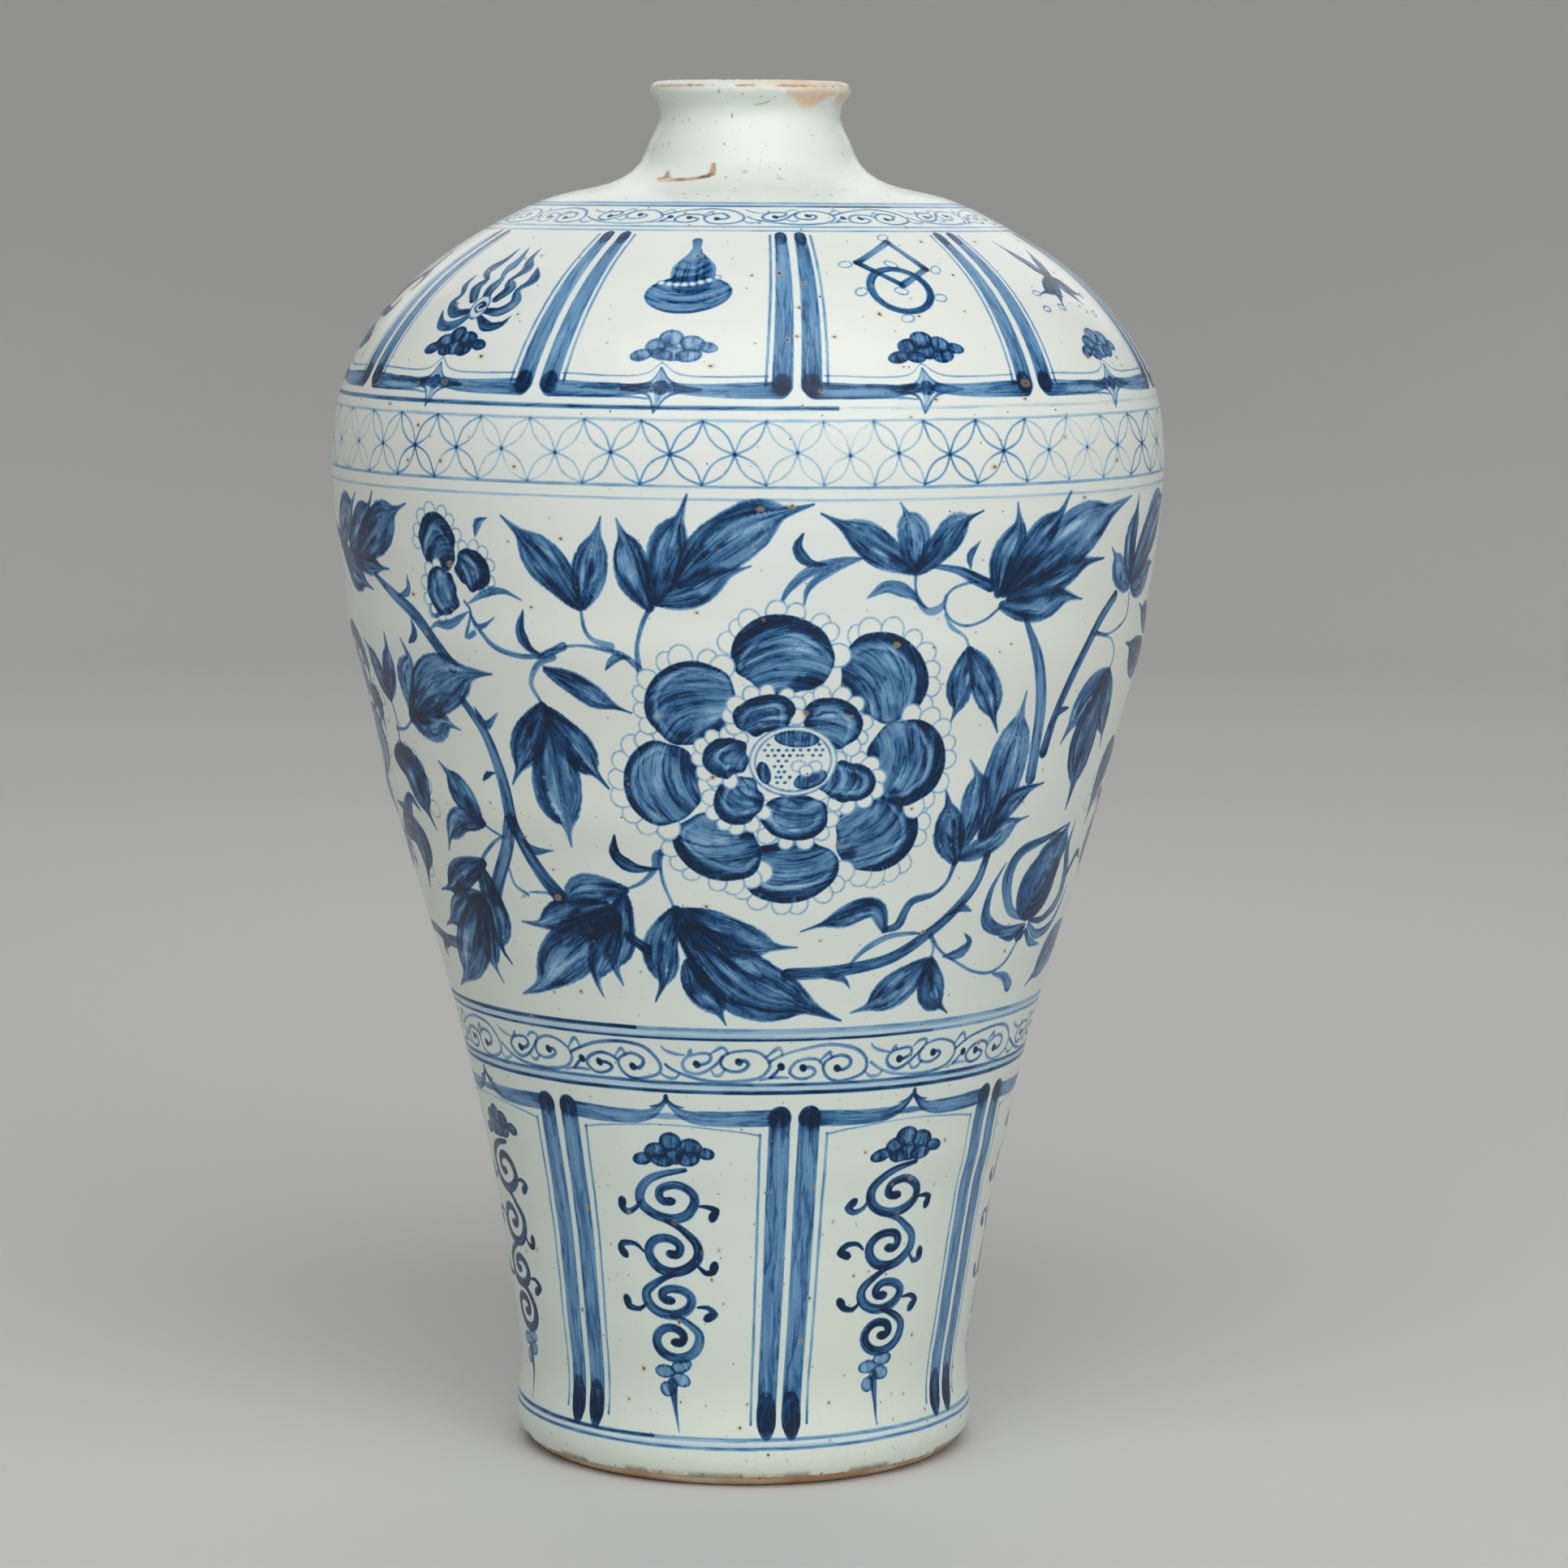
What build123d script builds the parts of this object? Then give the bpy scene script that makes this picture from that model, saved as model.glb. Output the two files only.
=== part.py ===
from build123d import *
from math import hypot
import os

# A meiping: a tall porcelain vase for one branch of blossom. It is thrown in six
# sections, luted together with slip, turned true at the foot, painted and glazed.

# Sizes of the fired porcelain body, in millimetres, from the foot up.
# The origin is the centre of the foot, and +Z is up.
vase_height = 419.3

# Foot: a turned ring, a rounded flare above it and a slight waist.
foot_radius = 63.4
flare_radius = 70.0
flare_height = 7.5
foot_waist_radius = 69.1
foot_waist_height = 20.0

# Body: the long side up to the belly, and the shoulder above it.
belly_radius = 126.5
shoulder_rise = 85.0

# Neck, with its waist under a thick rolled lip.
neck_root_radius = 37.8
neck_rise = 20.0
neck_radius = 26.6
lip_underside_rise = 6.4
lip_radius = 29.9
lip_edge_rise = 2.3
lip_crest_radius = 27.0

# Mouth: a straight bore through the neck, opened out over the lip.
mouth_radius = 20.5
mouth_edge_drop = 6.8
mouth_bore_length = 11.5

# Thickness of the wall, the floor and the glaze.
wall_thickness = 6.5
floor_thickness = 11.0
floor_corner_radius = 16.0
glaze_thickness = 0.7

# Foot ring, turned out of the underside.
foot_ring_width = 9.0
base_recess_depth = 5.0
base_recess_taper = 1.5
foot_ring_rounding = 1.2

# Throwing ridges that the fingers leave inside.
ridge_pitch = 15.0
ridge_depth = 0.9

# Thrown sections: the joint above the foot, two heights of wall, and the joints above
# the belly and under the neck's root. The slip is smoothed to a bead inside.
foot_joint_rise = 7.0
lower_section_height = 123.0
middle_section_height = 78.0
shoulder_joint_rise = 47.0
neck_joint_drop = 2.0
slip_thickness = 0.8
slip_bead_radius = 3.2

# Bare edges of the glaze, above the foot and inside the mouth.
glaze_foot_edge = 3.0
glaze_mouth_drop = 3.3

# Heights above the foot, from the lip down and from the foot up.
lip_height = vase_height - lip_edge_rise
neck_waist_height = lip_height - lip_underside_rise
neck_root_height = neck_waist_height - neck_rise
belly_height = neck_root_height - shoulder_rise
mouth_bore_top = vase_height - mouth_edge_drop
mouth_bore_bottom = mouth_bore_top - mouth_bore_length
foot_joint_height = foot_waist_height + foot_joint_rise
lower_joint_height = foot_joint_height + lower_section_height
upper_joint_height = lower_joint_height + middle_section_height
shoulder_joint_height = belly_height + shoulder_joint_rise
neck_joint_height = neck_root_height - neck_joint_drop
base_height = base_recess_depth + floor_thickness
floor_corner_height = base_height + floor_corner_radius

# The foot's edge up to the flare, the side from the foot's waist up to the belly, the
# shoulder up to the neck's root, the neck up to its waist, and the lip over it.
# Each pair is (share of the spread, share of the rise).
foot_edge_shares = ((0.68, 0.34),)
side_shares = (
    (0.037, 0.088),
    (0.113, 0.191),
    (0.237, 0.316),
    (0.392, 0.439),
    (0.598, 0.579),
    (0.779, 0.719),
    (0.918, 0.849),
    (0.972, 0.923),
)
shoulder_shares = (
    (0.008, 0.141),
    (0.046, 0.294),
    (0.125, 0.447),
    (0.3, 0.653),
    (0.545, 0.825),
    (0.8, 0.94),
)
neck_shares = ((0.465, 0.245), (0.7, 0.545))
lip_underside_shares = ((0.42, 0.6),)
lip_edge_shares = ((0.2, 0.72),)
mouth_edge_shares = ((0.72, 0.28),)


def run_between(start, end, shares):
    """Points of the outline between two named ones, as (radius, height)."""
    return [
        (
            start[0] + (end[0] - start[0]) * spread,
            start[1] + (end[1] - start[1]) * rise,
        )
        for spread, rise in shares
    ]


def set_off(points, distance):
    """The same outline moved square to itself, outwards where the distance is positive."""
    moved = []
    for index, (radius, height) in enumerate(points):
        before = points[max(index - 1, 0)]
        after = points[min(index + 1, len(points) - 1)]
        spread, rise = after[0] - before[0], after[1] - before[1]
        slant = hypot(spread, rise)
        moved.append((radius + distance * rise / slant, height - distance * spread / slant))
    return moved


# The outside of the porcelain, from the foot up over the lip into the mouth.
foot = (foot_radius, 0)
flare = (flare_radius, flare_height)
foot_waist = (foot_waist_radius, foot_waist_height)
belly = (belly_radius, belly_height)
neck_root = (neck_root_radius, neck_root_height)
neck_waist = (neck_radius, neck_waist_height)
lip = (lip_radius, lip_height)
lip_crest = (lip_crest_radius, vase_height)
mouth = (mouth_radius, mouth_bore_top)
outside_points = [
    foot,
    *run_between(foot, flare, foot_edge_shares),
    flare,
    foot_waist,
    *run_between(foot_waist, belly, side_shares),
    belly,
    *run_between(belly, neck_root, shoulder_shares),
    neck_root,
    *run_between(neck_root, neck_waist, neck_shares),
    neck_waist,
    *run_between(neck_waist, lip, lip_underside_shares),
    lip,
    *run_between(lip, lip_crest, lip_edge_shares),
    lip_crest,
    *run_between(lip_crest, mouth, mouth_edge_shares),
    mouth,
]
glaze_points = set_off(outside_points, glaze_thickness)

# The inside follows the outside a wall's thickness in, and swings in and out by half
# a ridge's depth at every half pitch.
with BuildLine() as outside_line:
    outside_edge = Spline(*outside_points)

half_pitches = round(outside_edge.length / (ridge_pitch / 2))
inside_points = []
for step in range(half_pitches):
    place = outside_edge @ (step / half_pitches)
    along = outside_edge % (step / half_pitches)
    depth = wall_thickness + ridge_depth / 2 * (-1) ** step
    if floor_corner_height < place.Y < neck_joint_height:
        inside_points.append((place.X - depth * along.Y, place.Y + depth * along.X))

# Half of the porcelain wall, seen in section. The foot ring is left by turning the
# underside hollow.
inside_foot_radius = inside_points[0][0]
recess_radius = foot_radius - foot_ring_width
with BuildSketch() as wall:
    with BuildLine():
        outside = Spline(*outside_points)
        inside = Spline(*inside_points)
        throat = Spline(
            inside @ 1,
            (mouth_radius, mouth_bore_bottom),
            tangents=(inside % 1, (0, 1)),
        )
        Line(throat @ 1, outside @ 1)
        floor = FilletPolyline(
            inside @ 0,
            (inside_foot_radius, base_height),
            (0, base_height),
            radius=floor_corner_radius,
        )
        Polyline(
            floor @ 1,
            (0, base_recess_depth),
            (recess_radius - base_recess_taper, base_recess_depth),
            (recess_radius, 0),
            outside @ 0,
        )
    make_face()
    foot_ring_corners = wall.vertices().group_by(Axis.Y)[0]
    fillet(foot_ring_corners, foot_ring_rounding)


def wall_band(low, high):
    """The part of the wall's section between two heights."""
    with BuildSketch() as band:
        add(wall.sketch)
        with Locations((0, low)):
            Rectangle(
                2 * belly_radius,
                high - low,
                align=(Align.MIN, Align.MIN),
                mode=Mode.INTERSECT,
            )
    return band.sketch


def thrown_section(low_joint, high_joint):
    """The wall's section between two joints, short of each by half the slip."""
    return wall_band(low_joint + slip_thickness / 2, high_joint - slip_thickness / 2)


def slip_section(joint_height):
    """The slip of one joint: a layer between the two faces, and its bead inside."""
    layer = wall_band(joint_height - slip_thickness / 2, joint_height + slip_thickness / 2)
    inside_edge = layer.vertices().sort_by(Axis.X)[0]
    with BuildSketch() as slip:
        with Locations((inside_edge.X, joint_height)):
            Circle(slip_bead_radius)
        add(wall.sketch, mode=Mode.SUBTRACT)
        add(layer)
    return slip.sketch


# Foot and base: the lowest section, with the turned ring and the floor.
with BuildPart() as foot_and_base:
    with BuildSketch(Plane.XZ):
        add(wall_band(0, foot_joint_height - slip_thickness / 2))
    revolve(axis=Axis.Z)
foot_and_base.part.label = "foot_and_base"

# Lower wall: the tall narrow section above the foot.
with BuildPart() as lower_wall:
    with BuildSketch(Plane.XZ):
        add(thrown_section(foot_joint_height, lower_joint_height))
    revolve(axis=Axis.Z)
lower_wall.part.label = "lower_wall"

# Middle wall: the shorter section that widens towards the belly.
with BuildPart() as middle_wall:
    with BuildSketch(Plane.XZ):
        add(thrown_section(lower_joint_height, upper_joint_height))
    revolve(axis=Axis.Z)
middle_wall.part.label = "middle_wall"

# Belly: the widest section.
with BuildPart() as belly_wall:
    with BuildSketch(Plane.XZ):
        add(thrown_section(upper_joint_height, shoulder_joint_height))
    revolve(axis=Axis.Z)
belly_wall.part.label = "belly_wall"

# Shoulder: the dome that closes the body in towards the neck.
with BuildPart() as shoulder:
    with BuildSketch(Plane.XZ):
        add(thrown_section(shoulder_joint_height, neck_joint_height))
    revolve(axis=Axis.Z)
shoulder.part.label = "shoulder"

# Neck and lip: thrown by itself, with the straight mouth bore.
with BuildPart() as neck_and_lip:
    with BuildSketch(Plane.XZ):
        add(wall_band(neck_joint_height + slip_thickness / 2, vase_height))
    revolve(axis=Axis.Z)
neck_and_lip.part.label = "neck_and_lip"

# Slip of the five joints.
with BuildPart() as foot_slip:
    with BuildSketch(Plane.XZ):
        add(slip_section(foot_joint_height))
    revolve(axis=Axis.Z)
foot_slip.part.label = "foot_slip"

with BuildPart() as lower_slip:
    with BuildSketch(Plane.XZ):
        add(slip_section(lower_joint_height))
    revolve(axis=Axis.Z)
lower_slip.part.label = "lower_slip"

with BuildPart() as upper_slip:
    with BuildSketch(Plane.XZ):
        add(slip_section(upper_joint_height))
    revolve(axis=Axis.Z)
upper_slip.part.label = "upper_slip"

with BuildPart() as shoulder_slip:
    with BuildSketch(Plane.XZ):
        add(slip_section(shoulder_joint_height))
    revolve(axis=Axis.Z)
shoulder_slip.part.label = "shoulder_slip"

with BuildPart() as neck_slip:
    with BuildSketch(Plane.XZ):
        add(slip_section(neck_joint_height))
    revolve(axis=Axis.Z)
neck_slip.part.label = "neck_slip"

# Outer glaze: one clear skin from above the foot over the lip to the mouth's edge.
with BuildPart() as outer_glaze:
    with BuildSketch(Plane.XZ):
        with BuildLine():
            glaze_line = Spline(*glaze_points)
            Polyline(
                glaze_line @ 1,
                (0, mouth_bore_top),
                (0, (glaze_line @ 0).Y),
                glaze_line @ 0,
            )
        make_face()
        with BuildLine():
            body_line = Spline(*outside_points)
            Polyline(body_line @ 1, (0, mouth_bore_top), (0, 0), body_line @ 0)
        make_face(mode=Mode.SUBTRACT)
        with Locations((0, -glaze_thickness)):
            Rectangle(
                2 * belly_radius,
                glaze_foot_edge + glaze_thickness,
                align=(Align.MIN, Align.MIN),
                mode=Mode.SUBTRACT,
            )
        Rectangle(
            (mouth_radius + neck_radius) / 2,
            vase_height - glaze_mouth_drop,
            align=(Align.MIN, Align.MIN),
            mode=Mode.SUBTRACT,
        )
    revolve(axis=Axis.Z)
outer_glaze.part.label = "outer_glaze"

os.makedirs("parts", exist_ok=True)
for piece in (
    foot_and_base,
    lower_wall,
    middle_wall,
    belly_wall,
    shoulder,
    neck_and_lip,
    foot_slip,
    lower_slip,
    upper_slip,
    shoulder_slip,
    neck_slip,
    outer_glaze,
):
    export_step(piece.part, f"parts/{piece.part.label}.step")
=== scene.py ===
import math

import bmesh
import bpy
import numpy as np
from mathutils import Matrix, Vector


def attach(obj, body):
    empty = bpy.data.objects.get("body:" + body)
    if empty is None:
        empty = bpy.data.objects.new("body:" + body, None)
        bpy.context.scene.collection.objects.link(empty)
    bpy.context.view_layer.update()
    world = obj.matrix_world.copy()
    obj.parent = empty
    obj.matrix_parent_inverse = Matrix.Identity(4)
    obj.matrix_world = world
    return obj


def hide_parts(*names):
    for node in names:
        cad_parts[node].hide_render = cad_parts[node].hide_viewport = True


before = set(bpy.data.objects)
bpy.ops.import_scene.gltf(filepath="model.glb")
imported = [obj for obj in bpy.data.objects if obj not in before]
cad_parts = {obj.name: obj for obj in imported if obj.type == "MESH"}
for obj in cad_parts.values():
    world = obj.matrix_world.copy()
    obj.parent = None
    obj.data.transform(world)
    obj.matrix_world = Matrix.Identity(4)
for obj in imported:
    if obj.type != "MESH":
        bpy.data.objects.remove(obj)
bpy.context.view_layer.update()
mm = 0.001
full_turn = 360.0


# The porcelain body: six sections thrown by themselves and luted together with slip. The
# glaze hides all of it but the foot ring, the base and the inside, where the bare clay
# has burnt to a warm orange in the kiln.
def put(tree, node, label, value):
    """Sets an input to a value, or links another node's output to it. _0 is the first."""
    socket = node.inputs[int(label[1:])] if label[0] == "_" else node.inputs[label]
    if isinstance(value, bpy.types.NodeSocket):
        tree.links.new(value, socket)
    else:
        socket.default_value = value


def add_node(tree, kind, **inputs):
    node = tree.nodes.new(kind)
    for label, value in inputs.items():
        put(tree, node, label, value)
    return node


def maths(tree, operation, a, b=0.0):
    node = add_node(tree, "ShaderNodeMath", _0=a, _1=b)
    node.operation = operation
    return node.outputs[0]


def product(tree, *factors):
    total = factors[0]
    for factor in factors[1:]:
        total = maths(tree, "MULTIPLY", total, factor)
    return total


def total_of(tree, *terms):
    total = terms[0]
    for term in terms[1:]:
        total = maths(tree, "ADD", total, term)
    return total


def ramp(tree, value, *stops):
    """A ramp from stop to stop. Each stop is (place, colour) or (place, grey)."""
    node = tree.nodes.new("ShaderNodeValToRGB")
    marks = node.color_ramp.elements
    while len(marks) < len(stops):
        marks.new(0.5)
    for mark, (place, colour) in zip(marks, stops):
        mark.position = place
        mark.color = (*colour, 1) if isinstance(colour, tuple) else (colour,) * 3 + (1,)
    tree.links.new(value, node.inputs[0])
    return node.outputs[0]


def blend(tree, share, under, over):
    """Mixes a share of one colour over another. The node's colours are inputs 6 and 7."""
    node = tree.nodes.new("ShaderNodeMix")
    node.data_type = "RGBA"
    for label, value in (("_0", share), ("_6", under), ("_7", over)):
        put(tree, node, label, (*value, 1) if isinstance(value, tuple) else value)
    return node.outputs[2]


def noise(tree, place, scale, detail=2.0, rough=0.5):
    settings = {"Vector": place, "Scale": scale, "Detail": detail, "Roughness": rough}
    return add_node(tree, "ShaderNodeTexNoise", **settings).outputs["Fac"]


def stretched(tree, place, amounts):
    node = add_node(tree, "ShaderNodeVectorMath", _0=place, _1=amounts)
    node.operation = "MULTIPLY"
    return node.outputs[0]


def srgb(red, green, blue):
    """A colour as the eye names it, from 0 to 255, turned into Blender's linear one."""
    parts = [c / 255 for c in (red, green, blue)]
    return tuple(p / 12.92 if p <= 0.04045 else ((p + 0.055) / 1.055) ** 2.4 for p in parts)


def new_material(name):
    """An empty material: itself, its tree, its shader and the place on the object."""
    material = bpy.data.materials.new(name)
    material.use_nodes = True
    tree = material.node_tree
    object_place = tree.nodes.new("ShaderNodeTexCoord").outputs["Object"]
    return material, tree, tree.nodes["Principled BSDF"], object_place


def new_group(name, inputs, outputs):
    """An empty shader node group with named inputs and outputs."""
    group = bpy.data.node_groups.new(name, "ShaderNodeTree")
    for label, kind in inputs:
        group.interface.new_socket(label, in_out="INPUT", socket_type=kind)
    for label in outputs:
        group.interface.new_socket(label, in_out="OUTPUT", socket_type="NodeSocketFloat")
    return group, group.nodes.new("NodeGroupInput").outputs, group.nodes.new("NodeGroupOutput")


def placed_group(tree, group, **inputs):
    node = tree.nodes.new("ShaderNodeGroup")
    node.node_tree = group
    for label, value in inputs.items():
        put(tree, node, label, value)
    return node.outputs


# Iron specks: grains of iron in the clay that melt through as brown dots, each with a
# tan halo. Place is in millimetres over the surface, Spacing is the mean way between
# them, Size the radius of the largest and Share how many of the places hold one.
speck_inputs = (
    ("Place", "NodeSocketVector"),
    ("Spacing", "NodeSocketFloat"),
    ("Size", "NodeSocketFloat"),
    ("Share", "NodeSocketFloat"),
)
iron_specks, given, result = new_group("iron_specks", speck_inputs, ("Speck", "Halo"))
ripples = add_node(iron_specks, "ShaderNodeTexNoise", Vector=given["Place"], Scale=1.6)
rough_place = add_node(
    iron_specks,
    "ShaderNodeVectorMath",
    _0=given["Place"],
    _1=stretched(iron_specks, ripples.outputs["Color"], (0.5, 0.5, 0.0)),
)
cells = add_node(
    iron_specks,
    "ShaderNodeTexVoronoi",
    Vector=rough_place.outputs[0],
    Scale=maths(iron_specks, "DIVIDE", 1.0, given["Spacing"]),
)
cells.voronoi_dimensions = "2D"
away = product(iron_specks, cells.outputs["Distance"], given["Spacing"])
draw = add_node(iron_specks, "ShaderNodeSeparateColor", Color=cells.outputs["Color"]).outputs
chosen = maths(iron_specks, "LESS_THAN", draw[0], given["Share"])
radius = product(iron_specks, given["Size"], chosen, draw[1], draw[1])
for label, reach, softness in (("Speck", 1.0, 7.0), ("Halo", 2.6, 1.6)):
    depth = maths(iron_specks, "SUBTRACT", product(iron_specks, radius, reach), away)
    mask = add_node(
        iron_specks, "ShaderNodeClamp", Value=product(iron_specks, depth, softness)
    )
    put(iron_specks, result, label, mask.outputs[0])

porcelain, tree, shader, object_place = new_material("bare_porcelain")
grain = noise(tree, object_place, 900.0, 4.0, 0.7)
patches = noise(tree, object_place, 38.0, 3.0)
clay = ramp(
    tree,
    patches,
    (0.35, srgb(222, 204, 178)),
    (0.5, srgb(204, 164, 124)),
    (0.7, srgb(158, 98, 62)),
)
specks = placed_group(
    tree,
    iron_specks,
    Place=stretched(tree, object_place, (1000.0, 1000.0, 1000.0)),
    Spacing=5.0,
    Size=0.5,
    Share=0.6,
)
clay = blend(tree, ramp(tree, grain, (0.35, 0.0), (0.75, 0.35)), clay, srgb(150, 110, 80))
clay = blend(tree, specks["Speck"], clay, srgb(70, 44, 30))
put(tree, shader, "Base Color", clay)
put(tree, shader, "Roughness", total_of(tree, product(tree, grain, 0.3), 0.5))
grit = add_node(tree, "ShaderNodeBump", Height=grain, Strength=0.5, Distance=0.0003)
put(tree, shader, "Normal", grit.outputs[0])

body_sections = (
    "foot_and_base", "lower_wall", "middle_wall", "belly_wall", "shoulder", "neck_and_lip"
)
slip_seams = ("foot_slip", "lower_slip", "upper_slip", "shoulder_slip", "neck_slip")
for name in body_sections + slip_seams:
    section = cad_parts[name]
    section.data.materials.clear()
    section.data.materials.append(porcelain)


# The glaze: a thin skin over the whole outside, fired with the painting under it.
# Its outside line is read from the frame, so the skin lies exactly where the solid has it.
# Places on it are given in degrees round the vase, with 0 at the front and right as
# plus, and in millimetres along the outside line, up from the foot's resting plane.
glaze_edge_place = 6.63


def outside_line(node):
    """The glaze's outside line as (radius, height) in mm, from the foot up over the lip."""
    shell = bmesh.new()
    shell.from_mesh(node.data)
    same_place = 1e-6
    sharp_corner = math.radians(40)
    bmesh.ops.remove_doubles(shell, verts=shell.verts, dist=same_place)
    seam = {v for v in shell.verts if abs(v.co.y) < same_place and v.co.x > 0}
    ring = [max(seam, key=lambda v: v.co.x - v.co.z * len(seam))]
    while True:
        beside = [e.other_vert(ring[-1]) for e in ring[-1].link_edges]
        beside = [v for v in beside if v in seam and v not in ring]
        if not beside:
            break
        ring.append(max(beside, key=lambda v: v.co.z) if len(ring) == 1 else beside[0])
    loop = np.array([(v.co.x, v.co.z) for v in ring]) / mm
    shell.free()
    step = np.diff(loop, axis=0)
    heading = np.unwrap(np.arctan2(step[:, 1], step[:, 0]))
    corner = np.argmax(np.abs(np.diff(heading)) > sharp_corner)
    return np.vstack([loop[-1], loop[: corner + 3]])


# The skin is laid out as a fine grid of squares, rows up the outside line and columns
# round the vase. The painting is worked out on it, and the mesh keeps only the points
# that the painting and the shape need.
square = 512
squares_up, squares_round = 4, 6
rows, columns = squares_up * square + 1, squares_round * square

outline = outside_line(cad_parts["outer_glaze"])
outline_run = np.concatenate([[0], np.cumsum(np.hypot(*np.diff(outline, axis=0).T))])
outline_place = outline_run - outline_run[1] + glaze_edge_place
row_place = np.linspace(outline_place[0], outline_place[-1], rows)
row_radius = np.interp(row_place, outline_place, outline[:, 0])
row_height = np.interp(row_place, outline_place, outline[:, 1])
row_step = row_place[1] - row_place[0]
column_degrees = np.arange(columns) * full_turn / columns - full_turn / 2
degree_mm = row_radius * math.pi / 180


# The brush: cobalt ground in water, laid on the raw body in strokes that overlap.
# Each stroke adds to the cobalt at its place, and keeps the run of its hairs.
cobalt = np.zeros((rows, columns), np.float32)
hairs = np.zeros((rows, columns, 3), np.float32)
far_outside = -10.0
inside_stroke = np.full((rows, columns), far_outside, np.float32)
edge_bleed = 0.45
hair_reach = 0.8
stroke_margin = 1.5
painter = np.random.default_rng(7)


def row_of(place):
    return (place - row_place[0]) / row_step


def column_of(degrees):
    return (degrees + full_turn / 2) * columns / full_turn


def mm_per_degree(place):
    return np.interp(place, row_place, degree_mm)


def band_rows(low, high):
    """The rows of the grid that hold a band of the surface, from place to place."""
    first, last = int(row_of(low)), int(row_of(high)) + 2
    return np.arange(max(first, 0), min(last, rows))


def window(low, high, left, right):
    """The rows and columns of the grid that hold a stretch of the surface."""
    return band_rows(low, high), np.arange(int(column_of(left)), int(column_of(right)) + 2)


def lay(at, cover, tone):
    """Adds cobalt: tone is 0 for bare glaze and 1 for the blackest heaped blue."""
    under = cobalt[at]
    cobalt[at] = under + (1 - under) * np.clip(tone, 0, 1) * cover


def own(at, inside, across, along):
    """Keeps the run of the hairs where this stroke is the nearest."""
    mine = inside > np.maximum(inside_stroke[at], -hair_reach)
    run = hairs[at]
    offset = painter.uniform(0, 40)
    run[mine] = np.stack([across, along, np.full_like(across, offset)], -1)[mine]
    hairs[at] = run
    inside_stroke[at] = np.where(mine, inside, inside_stroke[at])


def smooth_path(points, widths, spacing=1.1):
    """A smooth path through the points, each (degrees, place), with its half widths."""
    points = np.array(points, float)
    scale = np.array([mm_per_degree(points[:, 1].mean()), 1])
    padded = np.vstack([2 * points[0] - points[1], points, 2 * points[-1] - points[-2]])
    stretches = []
    for a, b, c, d in zip(padded, padded[1:], padded[2:], padded[3:]):
        count = max(2, int(np.hypot(*((c - b) * scale)) / spacing))
        t = np.linspace(0, 1, count, endpoint=False)[:, None]
        bend = (2 * a - 5 * b + 4 * c - d) * t**2 + (3 * b - a - 3 * c + d) * t**3
        stretches.append(b + ((c - a) * t + bend) / 2)
    path = np.vstack([*stretches, points[-1:]])
    run = np.concatenate([[0], np.cumsum(np.hypot(*(np.diff(path, axis=0) * scale).T))])
    share = run / run[-1]
    if callable(widths):
        return path, run, share, widths(share) / 2
    return path, run, share, np.interp(share, np.linspace(0, 1, len(widths)), widths) / 2


def trace(path, run, halves):
    """How deep inside a stroke each grid point near it is, with its hairs' run."""
    reach = halves.max() + stroke_margin
    narrow = mm_per_degree(path[:, 1]).min()
    picked_rows, picked_columns = window(
        path[:, 1].min() - reach,
        path[:, 1].max() + reach,
        path[:, 0].min() - reach / narrow,
        path[:, 0].max() + reach / narrow,
    )
    middle = path[:, 0].mean()
    degrees = picked_columns * full_turn / columns - full_turn / 2 - middle
    x = degree_mm[picked_rows][:, None] * degrees[None]
    y = np.broadcast_to(row_place[picked_rows][:, None], x.shape)
    knots_x = (path[:, 0] - middle) * mm_per_degree(path[:, 1])
    knots_y = path[:, 1]
    deepest = np.full(x.shape, far_outside)
    across, along, half = np.zeros(x.shape), np.zeros(x.shape), np.ones(x.shape)
    step = np.hypot(np.diff(knots_x), np.diff(knots_y))
    for k in range(len(step)):
        near = max(halves[k], halves[k + 1]) + stroke_margin
        low, high = sorted((knots_y[k], knots_y[k + 1]))
        left, right = sorted((path[k, 0], path[k + 1, 0]))
        top = np.searchsorted(y[:, 0], (low - near, high + near))
        side = np.searchsorted(
            degrees + middle, (left - near / narrow, right + near / narrow)
        )
        part = np.s_[top[0] : top[1], side[0] : side[1]]
        if step[k] == 0 or top[0] == top[1] or side[0] == side[1]:
            continue
        ux = (knots_x[k + 1] - knots_x[k]) / step[k]
        uy = (knots_y[k + 1] - knots_y[k]) / step[k]
        from_x, from_y = x[part] - knots_x[k], y[part] - knots_y[k]
        t = np.clip(from_x * ux + from_y * uy, 0, step[k])
        away = np.hypot(from_x - t * ux, from_y - t * uy)
        here = halves[k] + (halves[k + 1] - halves[k]) * t / step[k]
        better = here - away > deepest[part]
        deepest[part] = np.where(better, here - away, deepest[part])
        turned = np.sign(from_x * uy - from_y * ux) * away
        across[part] = np.where(better, turned, across[part])
        along[part] = np.where(better, run[k] + t, along[part])
        half[part] = np.where(better, here, half[part])
    at = np.ix_(picked_rows, picked_columns % columns)
    return at, deepest, across, along, half


def covered(inside, bleed=edge_bleed):
    return np.clip(inside / bleed + 0.5, 0, 1)


def stroke(points, widths, tone=0.6, ends=(0.0, 0.0), pool=3.0):
    """One stroke of a loaded brush. Ends are how much darker its start and finish are,
    over the length of the pool."""
    path, run, share, halves = smooth_path(points, widths)
    at, inside, across, along, half = trace(path, run, halves)
    start, finish = np.exp(-along / pool), np.exp(-(run[-1] - along) / pool)
    pooled = 1 + ends[0] * start + ends[1] * finish
    rim = 1 + 0.14 * np.exp(-(((inside - 0.4) / 0.4) ** 2))
    lay(at, covered(inside), tone * pooled * rim)
    own(at, inside, across, along)


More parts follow.
